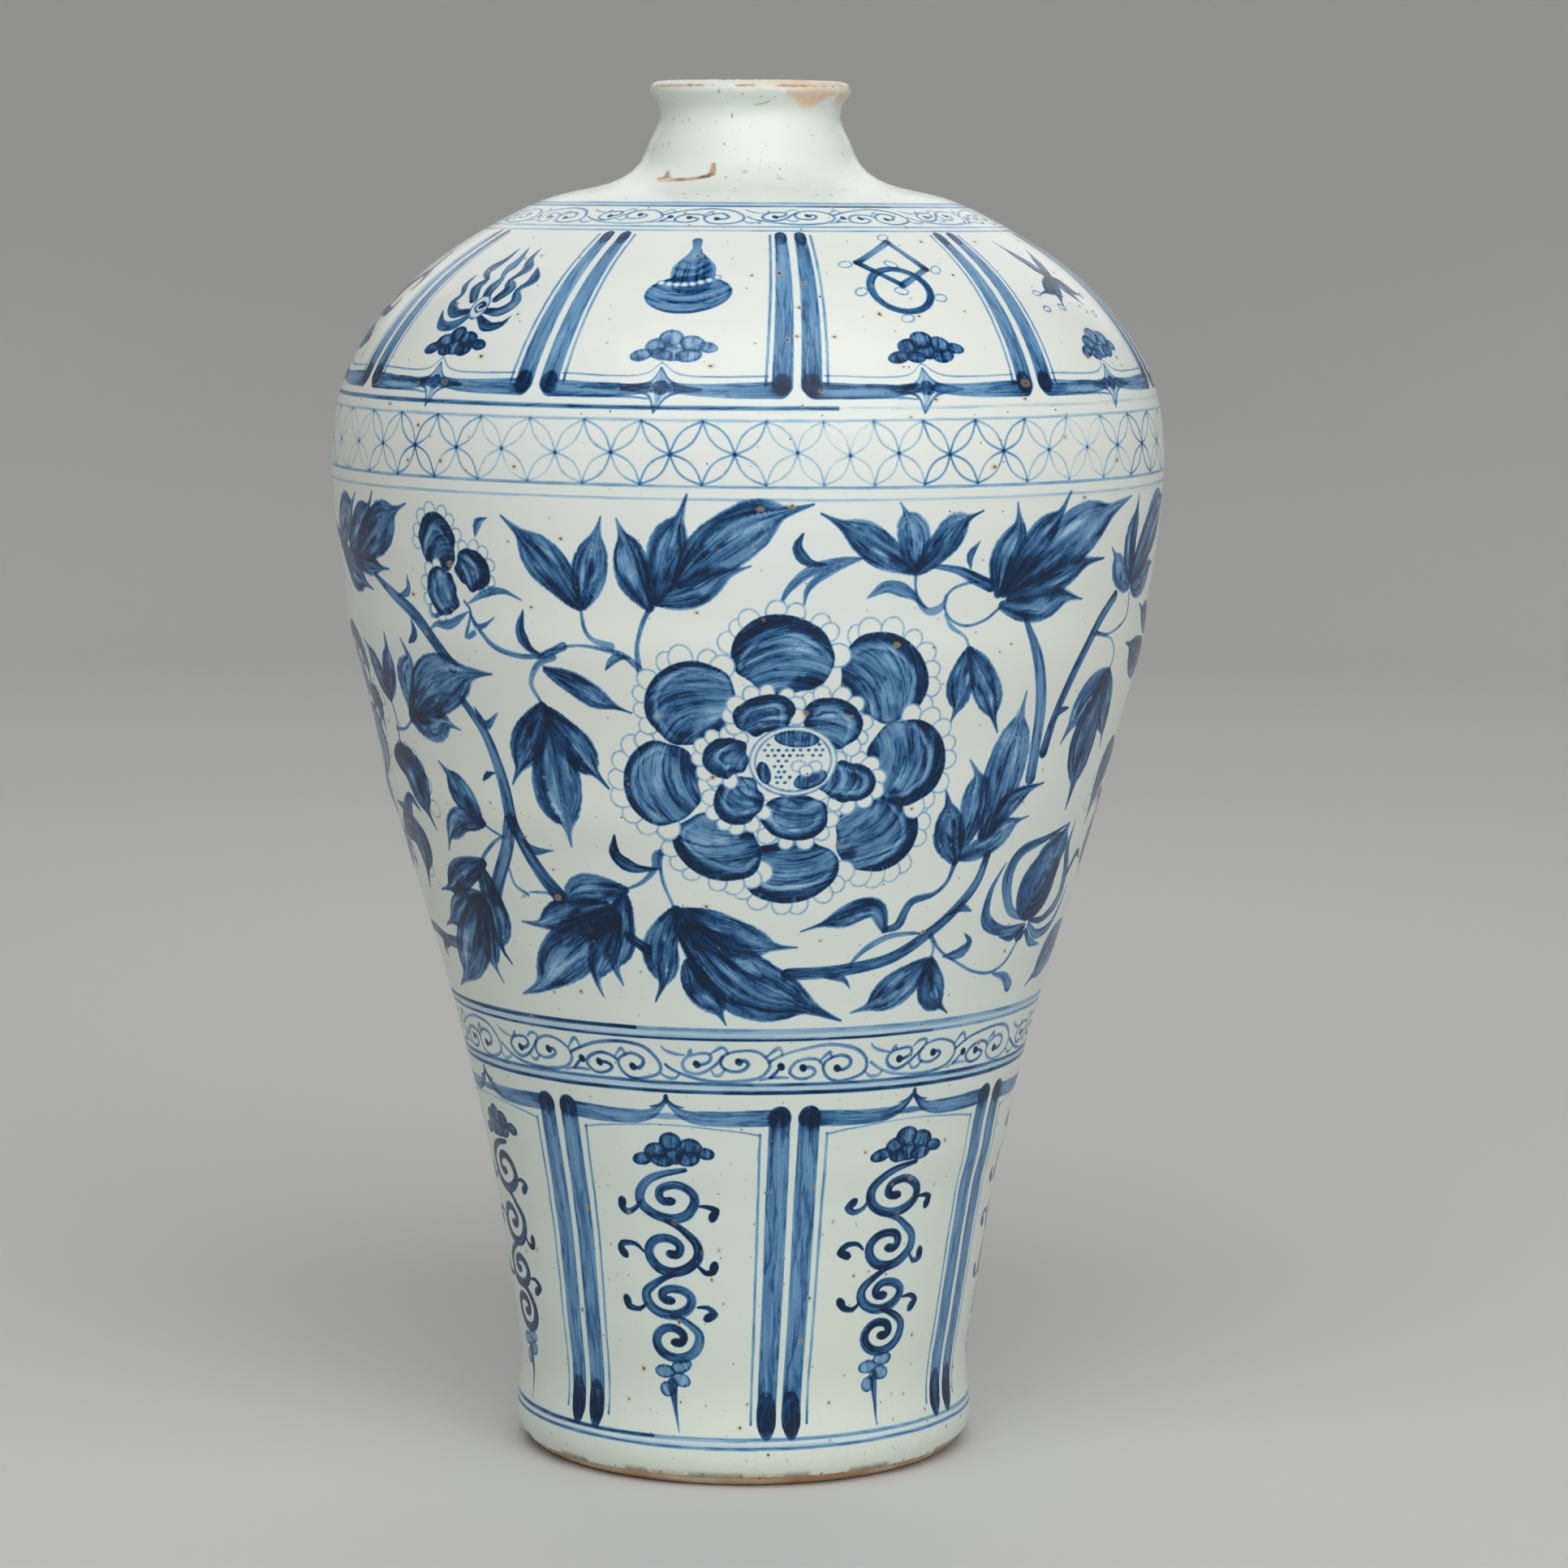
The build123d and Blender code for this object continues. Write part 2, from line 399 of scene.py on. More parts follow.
def wipe(at, cover):
    """Takes cobalt off again, as where the brush has skipped or a white is kept."""
    cobalt[at] = cobalt[at] * (1 - cover)


def streaks(at, cover, half, side, up, count, tone, broad):
    """Fuller strokes within a wash, side by side, each swelling and lifting off. Side
    runs from -1 to 1 over the half breadth, and up from 0 to 1 along the wash."""
    for _ in range(count):
        place = painter.uniform(-0.85, 0.85)
        start, length = painter.uniform(-0.25, 0.4), painter.uniform(0.35, 0.8)
        swell = np.sin(math.pi * np.clip((up - start) / length, 0, 1)) ** 0.7
        thick = broad * painter.uniform(0.5, 1.4) * swell
        streak = covered(thick - np.abs(side - place) * half, 0.7) * (swell > 0)
        if tone > 0:
            lay(at, cover * streak, tone * painter.uniform(0.45, 1.0))
        else:
            wipe(at, cover * streak * -tone * painter.uniform(0.6, 1.0))


leaf_shares = (0, 0.08, 0.2, 0.34, 0.46, 0.56, 0.64, 0.71, 0.78, 0.87, 1)
leaf_breadth_shares = (0.3, 0.56, 0.86, 1.06, 1.12, 1.04, 0.82, 0.54, 0.3, 0.14, 0.02)


def leaf_width(width):
    """The breadth of a leaf's lobe along its rib: a full body, then a tip like a whip."""
    return lambda share: width * np.interp(share, leaf_shares, leaf_breadth_shares) + 0.3


def patch(at, cover, u, v, size, tone):
    """A soft spot in a wash, where u and v are the ways from its middle: a heap of
    cobalt, or with a tone below 0 a place left bare."""
    spot = cover * np.clip(1.6 * (1 - np.hypot(u / size[0], v / size[1])), 0, 1)
    if tone > 0:
        lay(at, spot, tone)
    else:
        wipe(at, spot * -tone)


def lobe(points, width, tone=0.6, breadth=leaf_width):
    """One lobe of a leaf: a wash within a dark line, a second line inside it, windows
    left bare, and heaps where the brush has gone over twice."""
    path, run, share, halves = smooth_path(points, breadth(width), spacing=1.6)
    at, inside, across, along, half = trace(path, run, halves)
    up = along / run[-1]
    side = across / np.maximum(half, 0.4)
    phases = painter.uniform(0, math.tau, 4)
    bumps = np.where(side > 0, np.sin(9 * up + phases[0]), np.sin(12 * up + phases[1]))
    inside = inside + 0.045 * width * bumps * np.sin(math.pi * up)
    cover = covered(inside, 0.6)
    fade = 1 - 0.5 * np.clip((up - 0.7) / 0.3, 0, 1)
    lay(at, cover, tone * (0.7 + 0.3 * np.exp(-up / 0.16)) * fade)
    streaks(at, cover, half, side, up, 4, 0.6 * tone, 0.12 * width)
    for _ in range(3):
        u, v = up - painter.uniform(0.3, 0.72), side - painter.uniform(-0.6, 0.6)
        patch(at, cover, u, v, (painter.uniform(0.1, 0.2), painter.uniform(0.16, 0.3)), -0.42)
    wander = 0.25 * np.sin(0.5 * along + phases[2])
    line = covered(0.26 + wander - np.abs(inside - 0.75), 0.6)
    lay(at, line, 0.6 * tone * fade)
    inner = 0.58 * half + 0.09 * half * np.sin(0.45 * along + phases[3])
    inner_line = covered(0.3 + wander - np.abs(np.abs(across) - inner), 0.7)
    lay(at, cover * inner_line * np.clip(half - 1.6, 0, 1), 0.62 * tone)
    for _ in range(2):
        u, v = up - painter.uniform(0.12, 0.6), side - painter.uniform(-0.4, 0.4)
        size = (painter.uniform(0.06, 0.16), painter.uniform(0.14, 0.3))
        patch(at, cover, u, v, size, 0.9 * tone)
    streaks(at, cover, half, side, up, 3, 0.7 * tone, 0.05 * width)
    own(at, inside, side * halves.max(), along)


def leaf(*lobes, tone=0.6):
    """A leaf of several lobes from one stalk. The last number of a lobe is its breadth."""
    for *points, width in lobes:
        lobe(points, width, tone * painter.uniform(0.85, 1.15))


def oval(centre, size, turn=0.0):
    """Grid places round an oval: turn is the way its top leans, in degrees to the right."""
    degrees, place = centre
    reach = 1.6 * max(size) + 4
    scale = mm_per_degree(place)
    picked_rows, picked_columns = window(
        place - reach, place + reach, degrees - reach / scale, degrees + reach / scale
    )
    x = degree_mm[picked_rows][:, None] * (
        picked_columns[None] * full_turn / columns - full_turn / 2 - degrees
    )
    y = row_place[picked_rows][:, None] - place
    lean = math.radians(turn)
    u = x * math.cos(lean) - y * math.sin(lean)
    v = x * math.sin(lean) + y * math.cos(lean)
    ratio = np.hypot(u / size[0], v / size[1])
    inside = (1 - ratio) * np.hypot(u, v) / np.maximum(ratio, 0.05)
    at = np.ix_(picked_rows, picked_columns % columns)
    return at, u, v, ratio, inside


def bead(centre, size, turn=0.0, tone=0.5, edge=0.5, clear=False):
    """A round dab with a darker edge, or a clear round kept white inside its line."""
    at, u, v, ratio, inside = oval(centre, size, turn)
    if clear:
        wipe(at, covered(inside))
    lay(at, covered(inside), tone)
    lay(at, covered(0.3 - np.abs(inside - 0.25), 0.4), edge)
    own(at, inside, u, v)


def petal(centre, size, turn, tone=0.6, crescent=2.5, scallops=(3.0, 7, 110), wrap=0.45):
    """One petal: a brushed wash with a heavy outer rim, and white scallops round it.
    Scallops are their radius, their count and how far round they go, and wrap is how
    much of the rim goes on round the inner side."""
    degrees, place = centre
    scale = mm_per_degree(place)
    lean = math.radians(turn)
    scallop, count, spread = scallops
    for k in range(count):
        way = math.radians(spread * (2 * k / (count - 1) - 1) + painter.normal(0, 3))
        out = 1 + 0.3 * scallop / max(size)
        u, v = size[0] * math.sin(way) * out, size[1] * math.cos(way) * out
        x = u * math.cos(lean) + v * math.sin(lean)
        y = v * math.cos(lean) - u * math.sin(lean)
        round_size = scallop * painter.uniform(0.86, 1.14)
        spot = (degrees + x / scale, place + y)
        bead(spot, (round_size, round_size * 1.1), turn + math.degrees(way), 0.0, 0.26, clear=True)
    at, u, v, ratio, inside = oval(centre, size, turn)
    way = np.arctan2(u, v)
    phases = painter.uniform(0, math.tau, 3)
    ragged = 0.5 - 0.5 * np.cos(way)
    inside = inside + 0.35 * np.sin(2 * way + phases[0])
    inside = inside + ragged * (0.5 * np.sin(5 * way + phases[1]) + 0.3 * np.sin(9 * way))
    cover = covered(inside, 0.6)
    wipe(at, cover)
    outward = v / (size[1] * np.maximum(ratio, 0.2))
    lop = painter.choice((-0.3, 0.3)) * u / size[0]
    rim = np.clip(0.8 * outward + wrap + lop + 0.15 * np.sin(3 * way + phases[2]), 0, 1)
    drag = painter.uniform(-0.5, 0.5)
    over = v * math.cos(drag) + u * math.sin(drag) + 0.45 * size[1] * (u / size[0]) ** 2
    run = u * math.cos(drag) - v * math.sin(drag)
    side, up = over / size[1], (run / size[0] + 1) / 2
    lay(at, cover, tone * 0.74)
    for _ in range(4):
        middle = (painter.uniform(0.2, 0.8), painter.uniform(-0.6, 0.6))
        size_of_patch = (painter.uniform(0.12, 0.26), painter.uniform(0.08, 0.2))
        patch(at, cover, up - middle[0], side - middle[1], size_of_patch, -0.38)
    streaks(at, cover, size[1], side, up, 5, 0.62 * tone, 0.13 * size[1])
    streaks(at, cover, size[1], side, up, 5, tone, 0.045 * size[1])
    for _ in range(4):
        swing = math.pi + painter.uniform(-1.3, 1.3)
        u_off, v_off = u - 0.88 * size[0] * math.sin(swing), v - 0.88 * size[1] * math.cos(swing)
        blot = 0.17 * size[1] * painter.uniform(0.4, 1.3) - np.hypot(u_off / 1.9, v_off)
        lay(at, cover * covered(blot, 0.9), 0.55)
    second = crescent * rim + 1.3 + 0.3 * np.sin(2 * way + phases[0])
    wipe(at, cover * covered(0.45 - np.abs(inside - second), 0.6) * 0.35 * rim)
    third = covered(0.2 - np.abs(inside - second - 1.0), 0.5)
    lay(at, cover * third * (rim > 0.2), 0.4)
    lay(at, cover * covered(crescent * rim - inside, 0.8), 0.76 * (rim > 0.05))
    lay(at, covered(0.3 - np.abs(inside - 0.3), 0.5), 0.45)
    own(at, inside, over, run)


# Rings: thin lines turned on the wheel round the whole vase, where the brush ran dry
# and was loaded again part of the way round.
def ring(place, width, tone, loaded=None, waver=0.25):
    """A line round the vase. Loaded is (from, to, tone) where the brush was fuller or drier."""
    wave = painter.uniform(0, math.tau, 3)
    turn = np.radians(column_degrees)
    drift = sum(np.sin(turn * (k + 1) + wave[k]) / (k + 1.5) for k in range(3)) * waver
    near = band_rows(place - width - 3, place + width + 3)
    off = row_place[near][:, None] - place - drift[None]
    at = np.ix_(near, np.arange(columns))
    strength = np.full(columns, tone)
    if loaded:
        start, end, full = loaded
        inside = (column_degrees > start) & (column_degrees < end)
        strength = np.where(inside, full, strength)
    edge = covered(width / 2 - np.abs(off), 0.5)
    lay(at, edge, strength[None])
    inside = np.broadcast_to(width / 2 - np.abs(off), edge.shape)
    run = np.broadcast_to(column_degrees * mm_per_degree(place), edge.shape)
    own(at, inside, np.broadcast_to(off, edge.shape), run)


def ring_wash(low, high, tone):
    """A pale wash between two rings, left by the wet brush."""
    near = band_rows(low - 1, high + 1)
    depth = np.minimum(row_place[near] - low, high - row_place[near])[:, None]
    at = np.ix_(near, np.arange(columns))
    lay(at, covered(np.broadcast_to(depth, (len(near), columns)), 0.6), tone)


ring(16.9, 0.9, 0.5)
ring(19.3, 1.1, 0.36, (-82, -22, 0.66))
ring_wash(17.2, 19.0, 0.07)
ring(129.6, 1.1, 0.72, (-20, 60, 0.84))
ring(132.0, 1.0, 0.6)
ring_wash(129.9, 131.8, 0.13)
ring(146.7, 0.8, 0.78, (38, 130, 0.4))
ring(149.4, 1.2, 0.34, (-150, -20, 0.74))
ring_wash(146.9, 149.2, 0.12)
ring(311.0, 0.8, 0.2)
ring(314.7, 0.8, 0.33)
ring(333.3, 0.8, 0.2)
ring(336.8, 1.2, 0.12, (-120, 12.2, 0.56))
ring(404.9, 0.8, 0.32)
ring(407.6, 0.8, 0.28)
ring_wash(405.1, 407.4, 0.06)
ring(420.3, 1.1, 0.46, (12, 39, 0.7))
ring(422.6, 1.5, 0.26)
ring_wash(419.8, 422.8, 0.1)


# Lower panels: seven tall frames round the foot, each with a cloud and a hanging chain
# of curls. The bands are drawn wet and end in a heavy rounded pool.
panel_count = 7
panel_pitch = full_turn / panel_count
first_panel_side = 10.4


def cloud(centre, size, tone=0.6):
    """A cloud of round puffs, darker where they overlap, with a tail at each side."""
    degrees, place = centre
    scale = mm_per_degree(place)
    puffs = (
        (-0.82, -0.2, 0.3, 0.17, -14),
        (0.86, 0.0, 0.25, 0.16, 10),
        (0.0, -0.14, 0.42, 0.22, 0),
        (-0.46, 0.06, 0.3, 0.23, -10),
        (-0.34, -0.22, 0.3, 0.17, 8),
        (0.42, -0.18, 0.32, 0.2, -6),
        (0.46, 0.14, 0.34, 0.24, 12),
        (-0.06, 0.3, 0.32, 0.26, 0),
    )
    for x, y, wide, tall, turn in puffs:
        nudge = painter.normal(0, 0.03, 2)
        spot = (degrees + (x + nudge[0]) * size / scale, place + (y + nudge[1]) * size)
        shape = (wide * size * painter.uniform(0.9, 1.1), tall * size)
        at, u, v, ratio, inside = oval(spot, shape, turn)
        cover = covered(inside)
        wipe(at, cover * 0.35)
        lay(at, cover, 0.55 * tone)
        streaks(at, cover, shape[0], u / shape[0], (v / shape[1] + 1) / 2, 3, 0.6 * tone, 0.8)
        lay(at, covered(0.4 - np.abs(inside - 0.35), 0.5), 0.7 * tone)
        own(at, inside, u, v)


def curl(points, widths, tone=0.66):
    """A brush curl that ends in a dark drop."""
    stroke(points, widths, tone, (0.1, 0.3), 6.0)
    (x0, y0), (x1, y1) = points[-2:]
    lean = math.degrees(math.atan2((x1 - x0) * mm_per_degree(y1), y1 - y0))
    bead((x1, y1), (1.3, 1.9), lean, 0.72, 0.4)


def spiral(centre, size, start, sweep, lead=()):
    """The points of a curl that winds in to its heart. Angles are in degrees."""
    share = np.linspace(0, 1, 15)
    angle = np.radians(start + sweep * share)
    close = 1 - 0.85 * share**1.7
    x = centre[0] + size[0] * close * np.cos(angle)
    y = centre[1] + size[1] * close * np.sin(angle)
    return [*lead, *zip(x, y)]


def hanging_chain(middle, tone):
    """The chain of curls that hangs under the cloud, down to a drawn-out tip."""

    def at(points, shake=0.2):
        moves = painter.normal(0, shake, (len(points), 2))
        return [(middle + x + a, y + b) for (x, y), (a, b) in zip(points, moves)]

    chain = (
        spiral((0.8, 95), (7.2, 7.3), 130, 480, ((4.4, 104.4), (-0.4, 102.8))),
        spiral((0, 78), (6.8, 7.3), 55, -485, ((-0.6, 87.6), (2.0, 86.2))),
        spiral((0, 63), (6.4, 5.8), 130, 470, ((0.6, 70.6), (-1.8, 69.4))),
        spiral((0.3, 50), (6.2, 6.6), 55, -480, ((0, 57.4), (2.0, 56.6))),
    )
    side_curls = (
        ((-6.2, 94), (-7.6, 91), (-9.8, 89.8), (-11.2, 91.2), (-10.6, 92.6)),
        ((7.2, 92.6), (9, 92.9), (10.6, 91.5), (9.9, 89.9)),
        ((-6.6, 77.6), (-8.4, 79.6), (-11.2, 79.4), (-12.2, 77.4), (-11.2, 76.2)),
        ((6.4, 74), (8, 71.8), (10, 72), (9.8, 73.8)),
        ((-6.2, 60.8), (-8.4, 58.9), (-10.8, 59.4), (-11.2, 61.2)),
        ((6, 60.8), (8.6, 60.8), (10.4, 58.8), (8.9, 57.4)),
    )
    for points in chain:
        shade = tone * painter.uniform(0.85, 1.15)
        curl(at(points, 0.1), (1.4, 2.4, 3.1, 3.0, 3.1, 2.8, 2.6, 2.6), shade)
    for points in side_curls:
        curl(at(points), (0.7, 1.4, 2.0, 2.4), tone)
    drops = ((1.6, 41.6, 3.4, 2.2), (-2.6, 39.6, 3.2, 2.1), (1.4, 37.2, 3.0, 2.2),
             (-2.2, 34.0, 2.2, 2.4))
    for x, y, wide, tall in drops:
        bead((middle + x, y), (wide, tall), painter.uniform(-30, 30), 0.5 * tone, 0.7 * tone)
    stroke(at(((-0.8, 36.5), (0, 29), (0.7, 21))), (3.2, 1.3, 0.2), 0.8 * tone)


def frame_side(points, widths, tone, thin):
    """An upright band of a frame, darker at both ends, with a thin line inside it. Thin
    is how far that line lies off the band's middle, and the place of its top."""
    stroke(points, widths, tone, (0.45, 0.55), 7.0)
    offset, top = thin
    line = [(x + offset * (1 + painter.normal(0, 0.02)), min(y, top)) for x, y in points]
    stroke(line, (0.7, 0.8, 0.8, 0.7), 0.32, (0.3, 0.9))


for panel in range(panel_count):
    side = first_panel_side + panel * panel_pitch
    middle = side + panel_pitch / 2
    tone = painter.uniform(0.4, 0.47)
    for way in (-1, 1):
        line = ((side + way * 3.0, 122), (side - 0.3 + way * 3.1, 70), (side - 1.3 + way * 3.1, 24))
        frame_side(line, (6.4, 6.5, 6.0, 5.6), tone, (way * 3.9, 116.2))
        foot = (line[-1][0], 26.6)
        bead(foot, (2.9, 7.4), 0, 0.6, 0.35)
        bead((foot[0], foot[1] - 2), (2.2, 4.4), 0, 0.4, 0.0)
    # The top band rises to a cusp in the middle, in one stroke from either side.
    left, right = side + 2.6, side + panel_pitch - 2.6
    for way, corner in ((1, left), (-1, right)):
        bead((corner + way * 0.4, 121.3), (3.4, 3.0), 0, 0.5, 0.3)
    lift = ((left, 121.2), (middle - 10, 120.6), (middle - 3.6, 121.8), (middle, 126.4))
    drop = ((middle, 126.4), (middle + 3.6, 122), (middle + 10, 121), (right, 121.6))
    stroke(lift, (5.2, 5.0, 4.6, 1.2), tone, (0.5, 0.5), 5.0)
    stroke(drop, (1.2, 4.6, 5.2, 5.2), tone, (0.5, 0.5), 5.0)
    vein = ((middle - 7, 120.4), (middle, 121.4), (middle + 7, 120.6))
    stroke(vein, (0.4, 2.2, 0.4), 0.4)
    crest = ((middle - 3.4, 124.2), (middle - 0.8, 125.2), (middle, 127.8))
    stroke(crest, (0.4, 0.9, 1.2), 0.6)
    crest = ((middle, 127.8), (middle + 0.8, 125.2), (middle + 3.4, 124.4))
    stroke(crest, (1.2, 0.9, 0.4), 0.6)
    inner = ((left + 4.2, 115.8), (left + 10, 117.2), (middle, 118.6), (right - 10, 117.2),
             (right - 4.2, 115.8))
    stroke(inner, (0.6, 0.5, 0.4, 0.5, 0.6), 0.3)
    cloud((middle + 0.6, 109.5), 11.5, 0.9)
    hanging_chain(middle - 1.2, painter.uniform(0.6, 0.68))


# Scroll bands: a running scroll of two curls in turn, one over and one under the line,
# each with a second curl and small leaf points. One band is over the lower panels, and
# one is on the shoulder, under the neck.
scroll_pitch = 40.0
drawn_height = 13.0


def scroll_band(middle, tall, start, tone, line):
    """A running scroll. Middle is its place, and tall the height of its curls in mm."""
    over = (
        ((0, 0.5), (2.5, 2.5), (6, 4.4), (11, 5.6), (15.5, 4.6), (18, 2), (19.2, -1),
         (18.8, -3.6), (17, -5.2), (14, -6), (11.5, -5), (10.4, -2.5), (10.8, 0),
         (12.5, 1.7), (14.3, 1.8), (15.6, 0.6), (15.6, -1.4), (14.4, -2.6), (13.2, -2.2)),
        ((10.2, -0.7), (9.4, 0.6), (7.5, 1.3), (5, 0.5), (3.6, -2), (4.2, -4.2), (6, -5.2),
         (8, -4.4), (8.8, -2.8), (8, -1.6), (6.6, -1.6)),
        ((0.2, -4.4), (1.2, -3), (2.3, -1.1)),
    )
    under = (
        ((0, -0.8), (1.5, -2.6), (5, -4.8), (10, -6), (15, -5.8), (18.5, -4.2), (20, -1),
         (19.2, 2), (17, 4), (14.4, 4.3), (11.8, 3), (10.8, 0.6), (11.2, -1.6), (13, -2.6),
         (14.8, -2.2), (16, -0.6), (15.4, 0.7), (14.2, 0.4)),
        ((11.2, 2.2), (10, 0.2), (8.4, -2.2), (6, -3.6), (4, -2.6), (3.3, -0.2), (4.6, 2.2),
         (7, 3), (8.7, 2.6), (8.8, 0.8), (7.4, -0.4), (6.2, -0.6)),
    )
    leaf_points = (
        ((10, 0.6), (11.6, 3.4), (11.9, 1.2)),
        ((-0.6, 2), (1.5, 5.2), (2.6, 2.4)),
        ((-1.8, -5.4), (0.5, -4.4), (3.8, -4.6)),
        ((19.6, 5.0), (20.4, 3.6), (22.2, 2.4), (24, 2.2)),
        ((24.4, 2.4), (25, 3.8), (25.2, 2.5)),
        ((29, 3), (30.4, 5), (31.8, 4.6), (32, 3.2)),
        ((19, -3.8), (20.2, -5.4), (22, -5.2), (22.8, -3.8)),
        ((29, -2.6), (29.5, -3.8), (30.6, -3.6), (31.6, -2)),
    )
    scale = tall / drawn_height
    for turn in range(round(full_turn / scroll_pitch)):
        left = start + turn * scroll_pitch

        def placed(points, offset=0.0):
            shake = painter.normal(0, 0.12, (len(points), 2))
            return [
                (left + offset + x + a, middle + (y + b) * scale)
                for (x, y), (a, b) in zip(points, shake)
            ]

        for offset, figure in ((0, over), (scroll_pitch / 2, under)):
            for points in figure:
                path = placed(points, offset)
                shade = tone * painter.uniform(0.85, 1.15)
                stroke(path, (line * 0.9, line * 1.2, line * 0.9, line * 1.2), shade, (0.2, 0.3))
                bead(path[-1], (line * 1.25, line * 1.0), 60, 0.85, 0.3)
        for points in leaf_points:
            stroke(placed(points), (line * 0.6, line * 1.3, line * 0.6), tone * 0.8)


scroll_band(139.0, 13.0, 5.0, 0.44, 1.0)
scroll_band(413.8, 10.4, -20.0, 0.35, 0.8)


# Cash band: two rows of half coins that overlap, so that four leaf shapes meet at each
# crossing. It is drawn freely, so its pitch drifts and its lines fade.
drawn_crossings = (-17.4, -9.6, -1.3, 6.7, 13.5, 20.0, 27.2, 35.5)
other_coins = 39
coin_low, coin_middle, coin_high = 315.2, 323.8, 333.0
coin_bulge = 2.1

gap = (full_turn + drawn_crossings[0] - drawn_crossings[-1]) / other_coins
others = drawn_crossings[-1] + gap * np.arange(1, other_coins)
others = others + painter.normal(0, 0.25, len(others))
crossings = np.concatenate([drawn_crossings, others])
crossings = np.where(crossings > full_turn / 2, crossings - full_turn, crossings)
crossings.sort()


def coin_arc(start, end, bulge, tone):
    """One side of a leaf shape: a shallow arc between two corners."""
    share = np.linspace(0, 1, 6)
    scale = mm_per_degree(start[1])
    x, y = (end[0] - start[0]) * scale, end[1] - start[1]
    length = math.hypot(x, y)
    off = bulge * np.sin(math.pi * share)
    points_x = start[0] + (x * share - y / length * off) / scale
    points_y = start[1] + y * share + x / length * off
    stroke(tuple(zip(points_x, points_y)), (0.6, 0.55, 0.6), tone, (0.4, 0.2))


for k, here in enumerate(crossings):
    before = crossings[k - 1] - (full_turn if k == 0 else 0)
    after = crossings[(k + 1) % len(crossings)]
    after += full_turn if k == len(crossings) - 1 else 0
    tone = 0.22 + 0.12 * math.cos((here - 30) / 6.2) + painter.uniform(-0.03, 0.05)
    level_here = coin_middle + painter.normal(0, 0.25)
    for beside in ((before + here) / 2, (here + after) / 2):
        for level in (coin_low, coin_high):
            for bulge in (coin_bulge, -coin_bulge):
                coin_arc((here, level_here), (beside, level), bulge, tone)
    bead((here, level_here), (0.35, 0.45), 0, tone, 0.1)


# Shoulder panels: ten frames that widen down the shoulder, each with a lucky emblem over
# a small cloud. Five emblems follow one another twice round the vase. Each side is two
# bands, half_gap off its middle, and leans by side_lean on its way down.
shoulder_count = 10
shoulder_pitch = full_turn / shoulder_count
first_shoulder_side = 8.6
side_lean = 1.8
half_gap = 1.95


def moved(middle, points):
    return [(middle + x, y) for x, y in points]


def flaming_pearl(x):
    """A pearl in waving flames."""
    wave = (3.0, 4.4, 1.5, 4.2, 2.2, 0.3)
    flames = (
        (((0, 371.5), (-0.3, 375), (0.3, 379.4), (-0.2, 383), (0.3, 388), (-0.5, 394.5)), wave),
        (((-2.6, 371), (-4.1, 375.5), (-3.3, 379), (-5.0, 383), (-3.4, 388), (-3, 394)), wave),
        (((2.6, 371.5), (3.9, 375.6), (2.7, 379), (4.3, 384), (3, 388.6), (2.9, 394)), wave),
        (((-2, 366.4), (-5, 365.6), (-7.3, 369.4), (-6.6, 373), (-7.8, 377), (-7.2, 381)),
         (2.2, 3.6, 3.8, 1.6, 2.6, 0.3)),
        (((2, 366.8), (5, 366.8), (6.9, 370.4), (5.9, 375), (7.6, 379.4), (6.5, 385)),
         (2.2, 3.6, 4.0, 1.8, 4.0, 0.3)),
        (((-0.9, 365.4), (-3.4, 361.4), (-6.6, 361.4), (-8.6, 366.6)), (1.8, 3.8, 3.4, 0.3)),
        (((1.2, 364.6), (4, 361.2), (6.6, 362.2), (7.7, 365.2)), (1.8, 3.8, 2.8, 0.3)),
    )
    for points, widths in flames:
        stroke(moved(x, points), widths, 0.52, (0.5, 0.1), 5.0)
    bead((x, 368.2), (3.5, 4.6), 0, 0.08, 0.5, clear=True)
    swirl = ((1.2, 367.2), (0.2, 366.2), (-0.9, 368), (0, 370), (1.0, 368.9), (0.2, 368.2))
    stroke(moved(x, swirl), (0.5, 0.6, 0.9, 1.4), 0.6, (0, 0.4))


def conch(x):
    """A conch on end: a broad lower whorl, a row of pearls, and a top drawn to a neck."""
    lower = (x + 0.2, 374.6)
    at, u, v, ratio, inside = oval(lower, (12.6, 7.4), -5)
    cover = covered(inside, 0.6)
    lay(at, cover, 0.44)
    streaks(at, cover, 7.4, (v - 0.03 * u**2) / 7.4, (u / 12.6 + 1) / 2, 9, 0.5, 1.0)
    lay(at, covered(0.4 - np.abs(inside - 0.4), 0.6), 0.4)
    own(at, inside, v - 0.03 * u**2, u)
    crown = ((0.4, 380.2), (0.4, 384.2), (0.3, 388), (0.1, 391.6), (0, 395.4), (-0.3, 399.2))
    stroke(moved(x, crown), (12.4, 13.2, 9.0, 4.8, 2.4, 3.0), 0.4, (0.2, 0.6), 4.0)
    whorls = (
        ((-3.0, 381.8), (0.2, 380.9), (3.3, 384.6)),
        ((-3.0, 385.6), (0.1, 384.0), (2.9, 387.8)),
        ((-1.9, 389.0), (0.2, 387.6), (1.8, 390.6)),
    )
    for whorl in whorls:
        stroke(moved(x, whorl), (0.5, 2.3, 0.4), 0.42)
    for k in range(8):
        spot = (x - 4.5 + 1.3 * k, 378.3 + 0.14 * (k - 2.2) ** 2)
        bead(spot, (1.25, 1.15), 0, 0.0, 0.3, clear=True)


